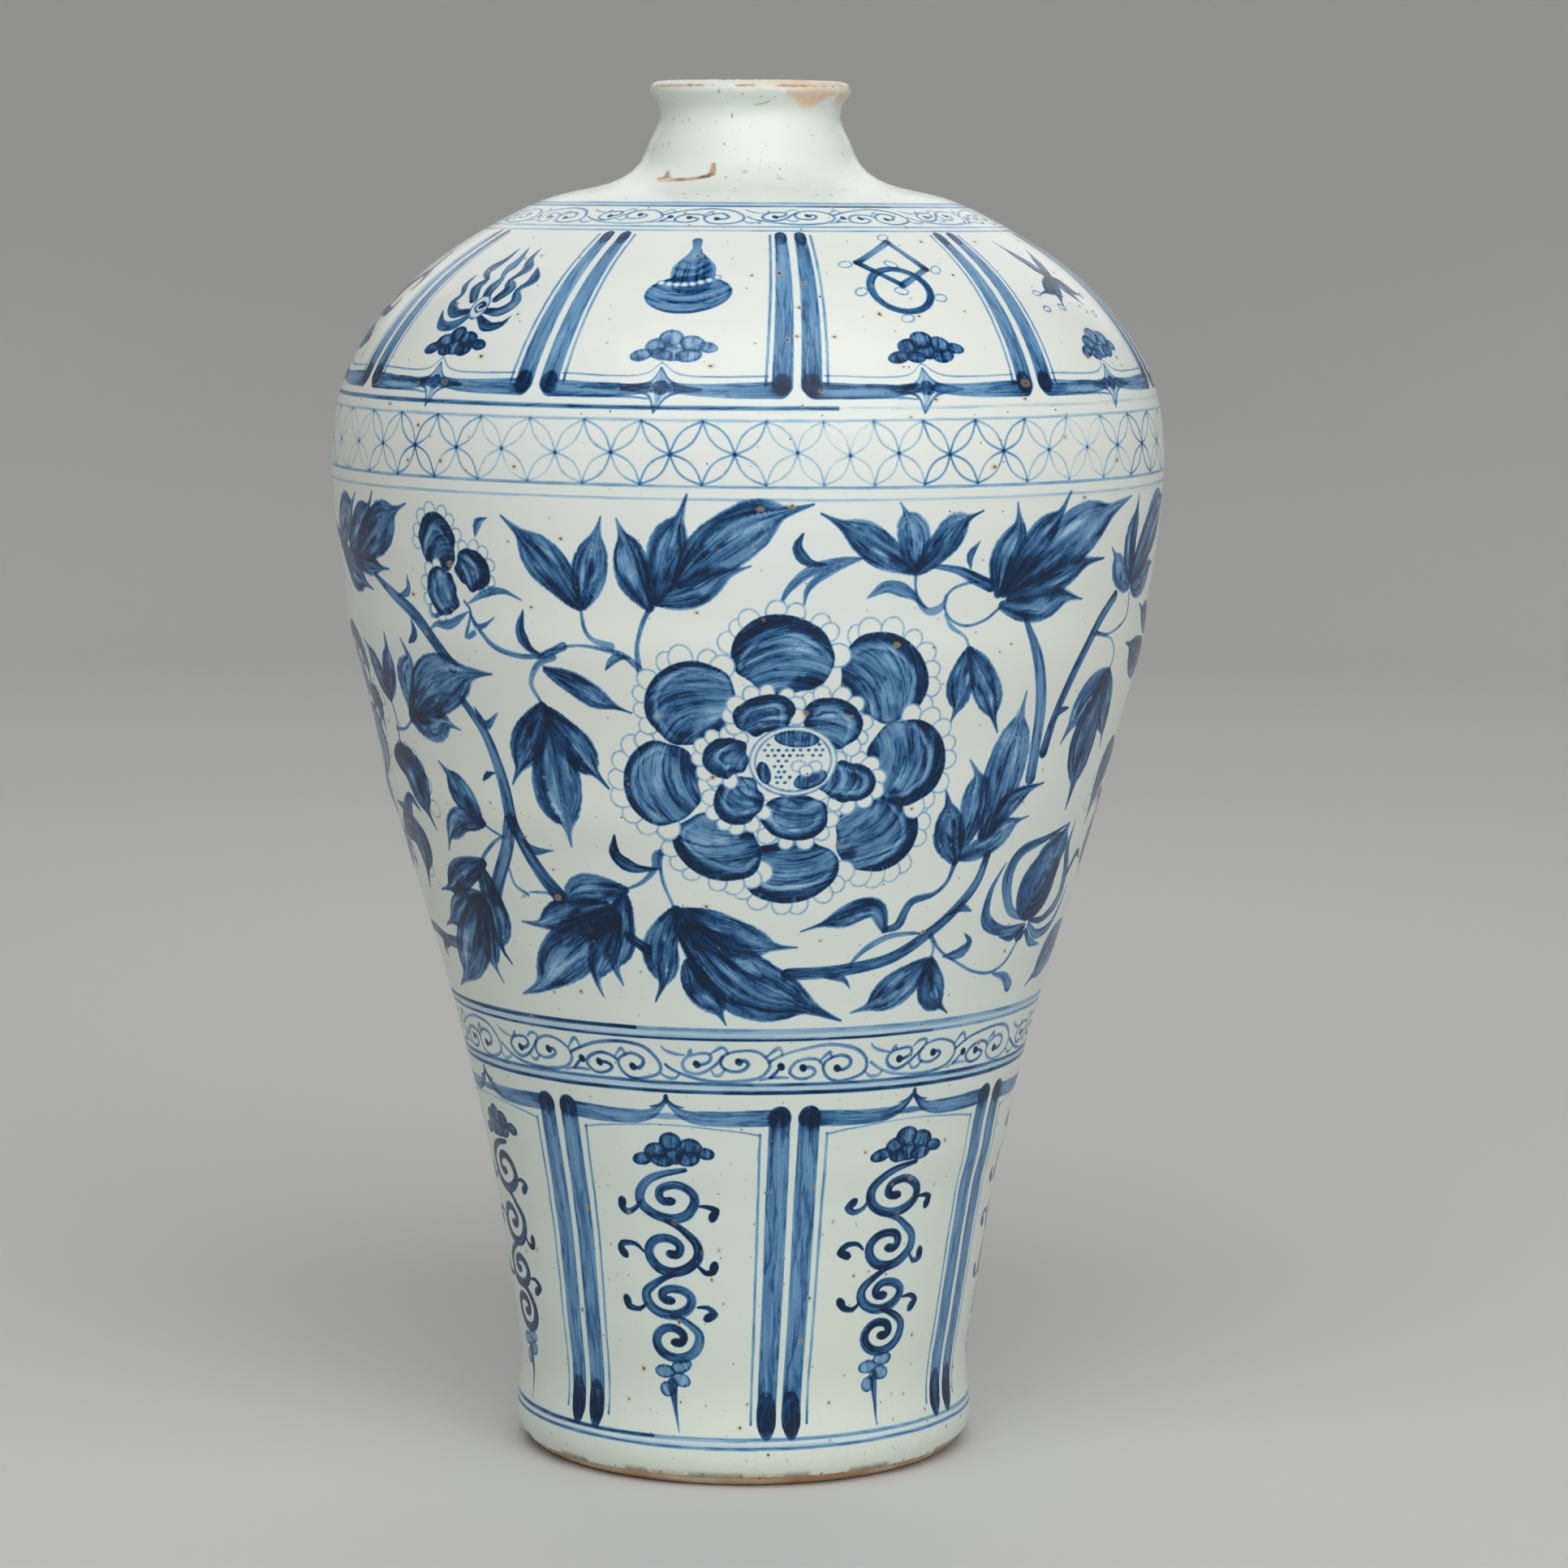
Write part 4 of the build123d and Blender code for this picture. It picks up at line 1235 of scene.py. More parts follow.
leaves = (
    ((((-12.6, 280), (-14.6, 290), (-15.7, 299.5), (-16.7, 305.2), 9.6),
      ((-11.5, 281.5), (-6.5, 284.6), (-2.8, 289.6), (0.8, 292.2), 8),
      ((-8.4, 288), (-2.8, 299), (3.0, 306), (8.8, 309.8), 14.5),
      ((-11.8, 282), (-9.8, 297.5), (-8.3, 306.5), (-7.4, 312.4), 10)), 0.7),
    ((((-22.5, 280), (-26.6, 291), (-30.4, 299.4), (-33.5, 304.9), 10.6),
      ((-21.8, 280), (-20.6, 290.6), (-19.6, 299), (-18.8, 305.6), 9.6)), 0.62),
    ((((22.6, 290.5), (17, 298), (13, 303.6), (9.8, 307.2), 9),
      ((23.4, 290.5), (26.4, 297.8), (28.8, 303.7), (32.4, 307.2), 8.4),
      ((22.8, 291), (22.3, 299.5), (21.3, 306), (20.3, 310), 9)), 0.6),
    ((((31.8, 266.5), (31.2, 258.6), (31.2, 251.4), (30.4, 244.8), 8.2),
      ((32.2, 266), (35.3, 256.6), (37.4, 247.6), (39.2, 240.8), 8.6)), 0.64),
    ((((40.6, 209), (42.3, 229.5), (43, 243.6), (43.3, 253), 15.5),
      ((39.5, 209), (44, 217), (48, 221.6), (52, 223.2), 6.6),
      ((36.3, 206), (37.4, 218.6), (36.8, 227.8), (35, 232.8), 9.6),
      ((36.5, 202.3), (42, 206.3), (46, 211.5), (49.8, 213.2), 7.6),
      ((35.3, 201.5), (33.1, 211), (32.4, 218.6), (31.4, 224), 9.4)), 0.6),
    ((((38, 283.6), (48.4, 296.6), (56.6, 304.4), (63.7, 308.7), 15.5),
      ((38, 281.3), (46, 286.3), (52, 290.4), (57, 291), 9),
      ((36.8, 279.2), (43, 278.1), (48, 280.6), (52.7, 279.3), 8.8),
      ((36.8, 283), (41.4, 296), (45.4, 304.4), (47.9, 311.7), 9.6),
      ((35.8, 283), (36.5, 293.4), (38.3, 301.6), (38, 309), 9.4)), 0.68),
    ((((67.5, 284), (73.5, 296.4), (79, 303.8), (85, 308), 15.5),
      ((67.8, 281.5), (73, 282.2), (76, 285.7), (79, 287), 9.4),
      ((66.3, 281), (62.6, 285.6), (60.6, 290.5), (59, 293.8), 7.8),
      ((66.3, 284), (65, 295.6), (66, 303), (66.6, 308.8), 8.4)), 0.68),
    ((((63.7, 255.5), (59, 249), (56.3, 241.4), (54.3, 234.8), 10.6),
      ((64.2, 255), (66.3, 244.6), (68.3, 237.4), (69.6, 230.8), 8.4),
      ((62.8, 252), (61.6, 235.6), (61.2, 222.4), (60.8, 213), 14.4)), 0.7),
    ((((-11, 188), (-13.9, 176.4), (-14, 165.6), (-15.8, 158.3), 9.4),
      ((-10.6, 187), (-3, 180.4), (3.5, 176.8), (9, 176.3), 11.4),
      ((-9.5, 171), (-7.6, 163), (-5, 158), (-3.2, 151.5), 8.8),
      ((-9.8, 182), (-0.6, 166.2), (9.4, 158.4), (17.9, 152.3), 17.5)), 0.7),
    ((((34, 169.5), (29.5, 163.6), (25, 157.8), (19.7, 154.6), 9.8),
      ((34.3, 169.5), (35.3, 161.4), (37.3, 156), (40.6, 151.8), 8.4)), 0.68),
    ((((24, 181), (21.6, 188.2), (15.6, 185.2), (9.5, 181.4), 6.2),), 0.66),
    ((((-29.5, 249), (-33, 237.4), (-35.3, 229.4), (-36.8, 224.4), 9.8),
      ((-29, 248), (-24.6, 236.4), (-22, 229.4), (-20.2, 225.1), 9.4),
      ((-29, 243), (-28.5, 225), (-27.8, 213), (-27.6, 206.5), 15)), 0.72),
    ((((-28, 260.4), (-23.5, 256), (-19, 251), (-15.8, 248.5), 6.8),), 0.56),
    ((((-58, 241.6), (-50.2, 251.6), (-43.8, 256.8), (-37.4, 258), 16.5),
      ((-58, 240.6), (-52.6, 239.2), (-49.4, 241.2), (-46, 239.5), 9.4),
      ((-58.2, 243), (-57.4, 254), (-55, 260), (-56.2, 266), 8)), 0.6),
    ((((-65, 246), (-67.4, 254.6), (-68.8, 260), (-70.4, 263.4), 8.6),
      ((-65, 246), (-62.4, 255.4), (-61.2, 262), (-61, 267), 7.8)), 0.7),
    ((((-45, 211), (-47.4, 218), (-50.4, 224), (-53, 228.6), 8.4),
      ((-44.4, 211.4), (-50, 211), (-54, 206), (-56.2, 200), 7.6)), 0.72),
    ((((-47, 198), (-54, 192.6), (-58.6, 188), (-63.4, 185.8), 9),
      ((-50, 187), (-57, 181.6), (-61, 177), (-66, 173.8), 9),
      ((-48, 196), (-46.6, 181.6), (-47.4, 171), (-45.6, 165.8), 9.6),
      ((-49.5, 186), (-51, 170.6), (-50.8, 164), (-49.4, 158.8), 8.6),
      ((-50, 185), (-57.4, 168.6), (-62.4, 159.4), (-67.8, 153.8), 15)), 0.74),
    ((((-19.4, 193.6), (-26, 193), (-30, 190), (-33.4, 187.6), 8.4),
      ((-23, 188.6), (-31, 184.2), (-36, 180.6), (-40.6, 180.4), 8.6),
      ((-19.6, 191), (-21.6, 178.6), (-22.6, 169), (-21.6, 163), 9.8),
      ((-21, 184), (-25.4, 170.6), (-26.6, 164), (-25.8, 158.8), 8.6),
      ((-22, 185.4), (-33, 170.6), (-38.4, 161), (-44.4, 156.4), 15)), 0.7),
    ((((-71, 291), (-66, 298), (-62, 304), (-60.3, 309), 10),
      ((-70, 289.6), (-65, 287), (-61.6, 286.6), (-57.4, 286.3), 6.4),
      ((-77, 290), (-70, 283.4), (-66.6, 281), (-63.4, 279.4), 10),
      ((-67, 289.6), (-60, 297.6), (-55, 303.4), (-51.5, 306.5), 13.5),
      ((-78, 291), (-73, 299.6), (-68.8, 303.6), (-66.3, 308), 12)), 0.72),
    ((((84, 257), (76.6, 258), (72, 262), (68.9, 263.7), 12.5),
      ((86, 267), (79.4, 270), (75.4, 273.4), (73.8, 274.7), 8.4)), 0.74),
    ((((84, 169), (76, 166.4), (70, 160), (65.3, 155.3), 13.5),), 0.74),
)
for side_of_vase in (0, full_turn / 2):
    scroll_half(side_of_vase)


# Flaws of the firing and of wear: iron has oozed from a scar low on the neck, and the
# glaze has worn off the lip to the warm clay, with a broken brown line along its edge.
stain = np.zeros((rows, columns), np.float32)
bare = np.zeros((rows, columns), np.float32)


def mark(layer, points, widths, strength, bleed=0.5):
    """Marks a layer along a path, as a stroke does for the cobalt."""
    path, run, share, halves = smooth_path(points, widths)
    at, inside, across, along, half = trace(path, run, halves)
    layer[at] = np.maximum(layer[at], strength * covered(inside, bleed))


scar = ((-43, 448.5), (-40, 447.8), (-36, 447.5), (-28, 448), (-21, 449.5), (-17.5, 451.2),
        (-18.3, 455.6))
mark(stain, scar, (1.8, 3.0, 2.3, 2.2, 2.2, 2.3, 1.3), 1.0)
mark(stain, ((-39, 448), (-40.3, 450.2), (-42.4, 452.6)), (4.2, 2.2, 0.5), 0.9, 0.7)
mark(stain, ((3, 475.0), (7, 475.2), (12.5, 476.2)), (0.3, 0.6, 0.4), 0.8)
# Small rusty scabs on the neck and where it meets the shoulder: place and size.
neck_scabs = (
    (-2, 453, 1.1), (14, 449, 0.9), (8, 441.5, 0.7), (22, 443.5, 0.6), (16, 436, 0.7),
    (-5, 436, 0.6), (30, 440, 0.5),
)
for degrees, place, size in neck_scabs:
    slant = ((degrees - 1.0, place), (degrees, place - 0.5), (degrees + 1.2, place - 0.9))
    mark(stain, slant, (0.4, size, 0.4), 0.55, 0.9)

# The worn lip: two bare patches under the rim on the right, wear along the rim that
# comes and goes, most on that side, and the brown line, broken into dashes.
lip_edge_place = 481.6
worn_lip = ((23, 479.5), (30, 478.8), (38, 477.6), (46, 478.6), (55, 479.6))
mark(bare, worn_lip, (2.0, 4.4, 7.6, 5.0, 2.2), 0.9, 1.6)
mark(bare, ((62, 479.4), (68, 478.0), (76, 478.6), (82, 479.6)), (2.0, 5.5, 5.0, 2.0), 0.85, 1.6)
edge_turn = np.radians(column_degrees)
edge_wear = 0.5 + 0.3 * np.sin(3 * edge_turn + 1) + 0.25 * np.sin(11 * edge_turn + 2)
edge_wear += 0.35 * np.sin(29 * edge_turn) * np.sin(7 * edge_turn)
lip_rows = band_rows(lip_edge_place - 5, lip_edge_place + 9)
off_edge = row_place[lip_rows][:, None] - lip_edge_place
lip = np.ix_(lip_rows, np.arange(columns))
worn_side = 0.16 + 0.7 * np.clip(np.cos(edge_turn - math.radians(48)) * 2.4 - 1.3, 0, 1)
worn_band = covered(0.5 + 1.6 * edge_wear - np.abs(off_edge - 1), 1.6)
bare[lip] = np.maximum(bare[lip], worn_side * worn_band)
broken = np.sin(9 * edge_turn + 2 * np.sin(4 * edge_turn) + 2.4) + 0.5 * np.sin(47 * edge_turn)
edge_line = covered(np.clip(0.3 * (broken + 0.35), -1, 0.34) - np.abs(off_edge), 0.45)
stain[lip] = np.maximum(stain[lip], edge_line)
# The glaze's edge over the foot, stained by the clay in a line of uneven depth.
foot_rows = band_rows(glaze_edge_place - 1, glaze_edge_place + 6)
foot_line = 1.0 + 0.6 * np.sin(4 * edge_turn + 2) + 0.5 * np.sin(13 * edge_turn)
up_from_foot = row_place[foot_rows][:, None] - glaze_edge_place
foot = np.ix_(foot_rows, np.arange(columns))
stain[foot] = np.maximum(stain[foot], 0.55 * covered(foot_line - up_from_foot, 1.4))


# The skin's mesh: right-angled triangles, halved everywhere down to plain squares for the
# shape, and further only where the cobalt, the run of the hairs or a flaw changes.
# Neighbouring pieces share their points exactly.
cobalt_tolerance = 0.115
hair_tolerance = 3.4
flaw_tolerance = 0.2
plain_square = 16
surely_needed = 2


def bends(layer, picked_rows, picked_columns, up, side):
    """How far the layer's middle is from the mean of the two ends of a long side."""
    before = np.ix_(picked_rows - up, (picked_columns - side) % columns)
    after = np.ix_(picked_rows + up, (picked_columns + side) % columns)
    middle = np.ix_(picked_rows, picked_columns)
    return np.abs(layer[middle] - (layer[before] + layer[after]) / 2)


def needed_points(layers):
    """For each grid point, how badly it is needed: over 1, it stays in the mesh."""
    need = np.zeros((rows, columns), np.float32)
    step = 1
    while step < square:
        odd_rows, even_rows = np.arange(step, rows, 2 * step), np.arange(0, rows, 2 * step)
        odd_columns = np.arange(step, columns, 2 * step)
        even_columns = np.arange(0, columns, 2 * step)
        half = step // 2
        for some_rows, some_columns, up, side in (
            (even_rows, odd_columns, 0, step),
            (odd_rows, even_columns, step, 0),
        ):
            worst = sum(
                bends(layer, some_rows, some_columns, up, side) / limit
                for layer, limit in layers
            )
            if half:
                for dr in (-half, half):
                    near_rows = np.clip(some_rows + dr, 0, rows - 1)
                    for dc in (-half, half):
                        near = np.ix_(near_rows, (some_columns + dc) % columns)
                        worst = np.maximum(worst, need[near])
            if step >= plain_square:
                worst[:] = surely_needed
            need[np.ix_(some_rows, some_columns)] = worst
        # The long sides that cross these points lean to the left and the right in turn.
        leaning = (odd_rows[:, None] - step + odd_columns[None] - step) // (2 * step) % 2 == 0
        worst = sum(
            np.where(
                leaning,
                bends(layer, odd_rows, odd_columns, step, step),
                bends(layer, odd_rows, odd_columns, step, -step),
            )
            / limit
            for layer, limit in layers
        )
        for dr, dc in ((-step, 0), (step, 0), (0, -step), (0, step)):
            near = np.ix_(odd_rows + dr, (odd_columns + dc) % columns)
            worst = np.maximum(worst, need[near])
        if step >= plain_square:
            worst[:] = surely_needed
        need[np.ix_(odd_rows, odd_columns)] = worst
        step *= 2
    return need


def square_triangles(need, up, side):
    """The triangles of one big square of the grid, as grid rows and columns. A triangle
    is halved at the middle of its long side for as long as that point is needed."""
    top, left = up * square, side * square
    corners = np.array(
        [[0, 0], [0, square], [square, square], [square, 0]], np.int64
    ) + (top, left)
    if (up + side) % 2:
        corners = np.roll(corners, 1, axis=0)
    a, b, c, d = corners
    waiting = np.array([[a, c, d], [c, a, b]])
    done = []
    while len(waiting):
        middle = (waiting[:, 0] + waiting[:, 1]) // 2
        exact = ((waiting[:, 0] + waiting[:, 1]) % 2 == 0).all(1)
        split = exact & (need[middle[:, 0], middle[:, 1] % columns] > 1)
        done.append(waiting[~split])
        cut, middle = waiting[split], middle[split]
        first = np.stack([cut[:, 2], cut[:, 0], middle], 1)
        second = np.stack([cut[:, 1], cut[:, 2], middle], 1)
        waiting = np.concatenate([first, second])
    return np.concatenate(done)


# Hand-thrown shape: the wall swells a little here and there, most of all above and below
# the joint under the belly, so the vase is a touch out of round, as the photograph shows.
# Each swelling has a height, a spread, its most in mm and the way that it faces.
def swelling():
    """How far the skin stands out from the true turned shape, in mm, over the grid."""
    turn = np.radians(column_degrees)[None]
    height = row_height[:, None]
    out = np.zeros((rows, columns))
    for level, spread, most, way in (
        (247.0, 13.0, 0.9, 80.0),
        (256.0, 9.0, 1.0, -90.0),
        (206.0, 9.0, 1.1, -85.0),
        (98.0, 8.0, 0.5, 60.0),
    ):
        around = 0.55 + 0.45 * np.cos(turn - math.radians(way))
        out += most * around * np.exp(-(((height - level) / spread) ** 2))
    ripple_depth, ripple_start, ripple_rise, ripple_end = 0.05, 30, 30, 300
    ripple = np.sin(height / 5.5 + 0.6 * np.sin(turn)) + np.sin(height / 3.1 + turn)
    faded = np.clip((height - ripple_start) / ripple_rise, 0, 1) * (height < ripple_end)
    return out + ripple_depth * ripple * faded


skin_swelling = swelling()
turn = np.radians(column_degrees)[None]
slope_radius = np.gradient(row_radius)[:, None]
slope_height = np.gradient(row_height)[:, None]
slope_length = np.hypot(slope_radius, slope_height)
out_radius, out_height = slope_height / slope_length, -slope_radius / slope_length
skin_radius = row_radius[:, None] + skin_swelling * out_radius
skin_height = row_height[:, None] + skin_swelling * out_height
skin = np.stack(
    [
        skin_radius * np.sin(turn) * mm,
        -skin_radius * np.cos(turn) * mm,
        np.broadcast_to(skin_height * mm, (rows, columns)),
    ],
    -1,
)
up_slope = np.gradient(skin, axis=0)
side_slope = np.roll(skin, -1, axis=1) - np.roll(skin, 1, axis=1)
facing = np.cross(side_slope, up_slope)
facing /= np.linalg.norm(facing, axis=-1, keepdims=True)

# The eye tells pale tones apart better than deep ones, so pale lines count for more.
# Where there is hardly any cobalt, the run of the hairs doesn't show.
tone_seen_power = 0.7
least_cobalt = 0.1
seen_cobalt = cobalt**tone_seen_power
need = needed_points(
    [
        (seen_cobalt, cobalt_tolerance),
        (hairs[..., 0] * (cobalt > least_cobalt), hair_tolerance),
        (stain, flaw_tolerance),
        (bare, flaw_tolerance),
    ]
)


middle_degree_mm = degree_mm.mean()


def new_object(name, data):
    """A new object at the origin, linked into the scene."""
    made = bpy.data.objects.new(name, data)
    bpy.context.scene.collection.objects.link(made)
    return made


def skin_piece(up, side):
    """One mesh piece of the skin, with the painting as attributes on its points."""
    corners = square_triangles(need, up, side)
    keys = corners[..., 0] * (columns + 1) + corners[..., 1]
    points, faces = np.unique(keys, return_inverse=True)
    at_row, at_column = points // (columns + 1), points % (columns + 1)
    pick = (at_row, at_column % columns)
    turned_mm = at_column * full_turn / columns * middle_degree_mm
    surface_place = np.stack([turned_mm, row_place[at_row], np.zeros(len(points))], 1)
    name = f"glaze_{up + 1}_{side + 1}"
    mesh = bpy.data.meshes.new(name)
    mesh.vertices.add(len(points))
    mesh.vertices.foreach_set("co", skin[pick].astype(np.float32).ravel())
    faces = faces.reshape(-1, 3).astype(np.int32)
    mesh.loops.add(faces.size)
    mesh.loops.foreach_set("vertex_index", faces.ravel())
    mesh.polygons.add(len(faces))
    mesh.polygons.foreach_set("loop_start", np.arange(0, faces.size, 3, dtype=np.int32))
    mesh.update(calc_edges=True)
    for label, kind, field, values in (
        ("cobalt", "FLOAT", "value", cobalt[pick]),
        ("hairs", "FLOAT_VECTOR", "vector", hairs[pick]),
        ("stain", "FLOAT", "value", stain[pick]),
        ("bare", "FLOAT", "value", bare[pick]),
        ("surface", "FLOAT_VECTOR", "vector", surface_place),
    ):
        layer = mesh.attributes.new(label, kind, "POINT")
        layer.data.foreach_set(field, np.ascontiguousarray(values, np.float32).ravel())
    chart = mesh.uv_layers.new(name="OFBake")
    spots = np.stack([at_column - side * square, at_row - up * square], 1) / square
    chart.data.foreach_set("uv", spots[faces.ravel()].astype(np.float32).ravel())
    mesh.polygons.foreach_set("use_smooth", np.ones(len(faces), bool))
    mesh.normals_split_custom_set_from_vertices(facing[pick].tolist())
    return new_object(name, mesh)


# The painted glaze: the colour is the body's white seen through cobalt, and the shine is
# the glaze's own. Streaks follow the hairs of the brush, and the cobalt is grainy and
# turns black where it is heaped.
def attribute(tree, label):
    node = tree.nodes.new("ShaderNodeAttribute")
    node.attribute_name = label
    return node.outputs


painted, tree, shader, object_place = new_material("painted_glaze")
surface_mm = attribute(tree, "surface")["Vector"]
hair_run = attribute(tree, "hairs")["Vector"]

fine = noise(tree, stretched(tree, hair_run, (1.3, 0.05, 1.0)), 1.0, 4.0, 0.6)
broad = noise(tree, stretched(tree, hair_run, (0.4, 0.035, 1.0)), 1.0, 1.5)
folds = noise(tree, stretched(tree, hair_run, (0.3, 0.03, 1.0)), 1.0, 3.0, 0.6)
hair_line = ramp(tree, folds, (0.45, 0.0), (0.49, 1.0), (0.51, 1.0), (0.55, 0.0))
grainy = noise(tree, object_place, 1100.0, 3.0, 0.7)
mottle = noise(tree, object_place, 260.0, 4.0, 0.65)
load = total_of(
    tree,
    0.45,
    product(tree, ramp(tree, fine, (0.32, 0.0), (0.68, 1.0)), 0.3),
    product(tree, ramp(tree, broad, (0.36, 0.0), (0.64, 1.0)), 0.24),
    product(tree, hair_line, 0.34),
    product(tree, grainy, 0.26),
    product(tree, mottle, 0.16),
)
amount = attribute(tree, "cobalt")["Fac"]
density = product(tree, amount, load)
heaped = product(
    tree,
    ramp(tree, mottle, (0.44, 0.0), (0.6, 1.0)),
    ramp(tree, density, (0.58, 0.0), (0.85, 1.0)),
)
ink = ramp(
    tree,
    density,
    (0.0, srgb(226, 232, 224)),
    (0.15, srgb(174, 202, 217)),
    (0.34, srgb(112, 156, 192)),
    (0.56, srgb(57, 105, 150)),
    (0.76, srgb(22, 65, 108)),
    (0.96, srgb(10, 38, 68)),
)
per_half_metre, per_decimetre = 0.002, 0.01
height = add_node(tree, "ShaderNodeSeparateXYZ", Vector=surface_mm).outputs["Y"]
level = product(tree, height, per_half_metre)
pooled = ramp(tree, level, (0.1, 1.0), (0.66, 0.0))
cloudy = noise(tree, object_place, 22.0, 3.0)
warmth = noise(tree, object_place, 9.0, 1.0)
body = blend(tree, pooled, srgb(229, 233, 228), srgb(217, 228, 216))
body = blend(tree, ramp(tree, cloudy, (0.4, 0.0), (0.66, 0.4)), body, srgb(216, 228, 221))
body = blend(tree, ramp(tree, warmth, (0.42, 0.0), (0.66, 0.3)), body, srgb(226, 228, 210))
cool_neck = ramp(tree, level, (0.8, 0.0), (0.88, 0.55))
body = blend(tree, cool_neck, body, srgb(220, 233, 226))
colour = blend(tree, ramp(tree, density, (0.02, 0.0), (0.13, 1.0)), body, ink)
colour = blend(tree, product(tree, heaped, 0.7), colour, srgb(26, 34, 46))

# Fine crackle in the glaze, only near the foot, where it lies thickest.
ripples = add_node(tree, "ShaderNodeTexNoise", Vector=surface_mm, Scale=0.12)
crackle_place = add_node(
    tree,
    "ShaderNodeVectorMath",
    _0=surface_mm,
    _1=stretched(tree, ripples.outputs["Color"], (5.0, 5.0, 0.0)),
)
crackle = add_node(tree, "ShaderNodeTexVoronoi", Vector=crackle_place.outputs[0], Scale=0.16)
crackle.voronoi_dimensions, crackle.feature = "2D", "DISTANCE_TO_EDGE"
crack = product(
    tree,
    ramp(tree, crackle.outputs["Distance"], (0.0, 1.0), (0.022, 0.0)),
    ramp(tree, product(tree, height, per_decimetre), (0.12, 1.0), (0.34, 0.0)),
    ramp(tree, cloudy, (0.4, 0.15), (0.6, 0.8)),
)
colour = blend(tree, product(tree, crack, 0.4), colour, srgb(150, 146, 128))

specks = placed_group(tree, iron_specks, Place=surface_mm, Spacing=10.0, Size=0.5, Share=0.6)
dust = placed_group(tree, iron_specks, Place=surface_mm, Spacing=7.0, Size=0.34, Share=0.5)
ash = placed_group(tree, iron_specks, Place=surface_mm, Spacing=8.0, Size=0.62, Share=0.42)
low_and_high = total_of(
    tree, ramp(tree, level, (0.1, 1.0), (0.24, 0.0)), ramp(tree, level, (0.62, 0.0), (0.7, 1.0))
)
ash_halo, ash_speck = (product(tree, ash[part], low_and_high) for part in ("Halo", "Speck"))
for share, over in (
    (product(tree, ash_halo, 0.35), srgb(194, 172, 128)),
    (ash_speck, srgb(96, 74, 48)),
    (product(tree, specks["Halo"], 0.45), srgb(198, 178, 136)),
    (specks["Speck"], srgb(128, 104, 70)),
    (dust["Speck"], srgb(58, 54, 50)),
):
    colour = blend(tree, share, colour, over)

stain_share, bare_share = (attribute(tree, label)["Fac"] for label in ("stain", "bare"))
stained = product(tree, stain_share, ramp(tree, mottle, (0.3, 1.0), (0.7, 0.6)))
worn = product(tree, bare_share, ramp(tree, mottle, (0.36, 0.5), (0.56, 1.0)))
clay_glow = ramp(tree, mottle, (0.34, srgb(212, 162, 122)), (0.64, srgb(232, 200, 166)))
colour = blend(tree, worn, colour, clay_glow)
rust = ramp(tree, mottle, (0.36, srgb(112, 72, 38)), (0.6, srgb(212, 156, 90)))
colour = blend(tree, stained, colour, rust)
put(tree, shader, "Base Color", colour)
roughness = total_of(tree, product(tree, mottle, 0.14), 0.16, product(tree, worn, 0.4))
put(tree, shader, "Roughness", roughness)
peel = noise(tree, object_place, 90.0, 3.0)
pitted = total_of(tree, peel, product(tree, specks["Speck"], -1.6), product(tree, crack, -0.2))
bump = add_node(tree, "ShaderNodeBump", Height=pitted, Strength=0.14, Distance=0.0006)
put(tree, shader, "Normal", bump.outputs[0])
put(tree, shader, "IOR", 1.4)
put(tree, shader, "Specular IOR Level", 0.3)

glaze_pieces = [skin_piece(up, side) for up in range(squares_up) for side in range(squares_round)]
for piece in glaze_pieces:
    piece.data.materials.append(painted)
    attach(piece, "root")
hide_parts("outer_glaze")


# Kiln grit: crumbs of sand and iron that fell on the glaze or stuck to the foot while it
# was soft. They are scattered over the skin by a seeded rule, and are half sunk in.
def coarse_skin(low, high, step):
    """A coarse copy of the skin between two places, for grit to be scattered on."""
    picked = band_rows(low, high)[::step]
    around = np.arange(0, columns, step)
    spots = skin[np.ix_(picked, around)].reshape(-1, 3)
    count = len(around)
    faces = [
        (r * count + c, r * count + (c + 1) % count,
         (r + 1) * count + (c + 1) % count, (r + 1) * count + c)
        for r in range(len(picked) - 1)
        for c in range(count)
    ]
    mesh = bpy.data.meshes.new("grit_bed")
    mesh.from_pydata(spots.tolist(), [], faces)
    return mesh


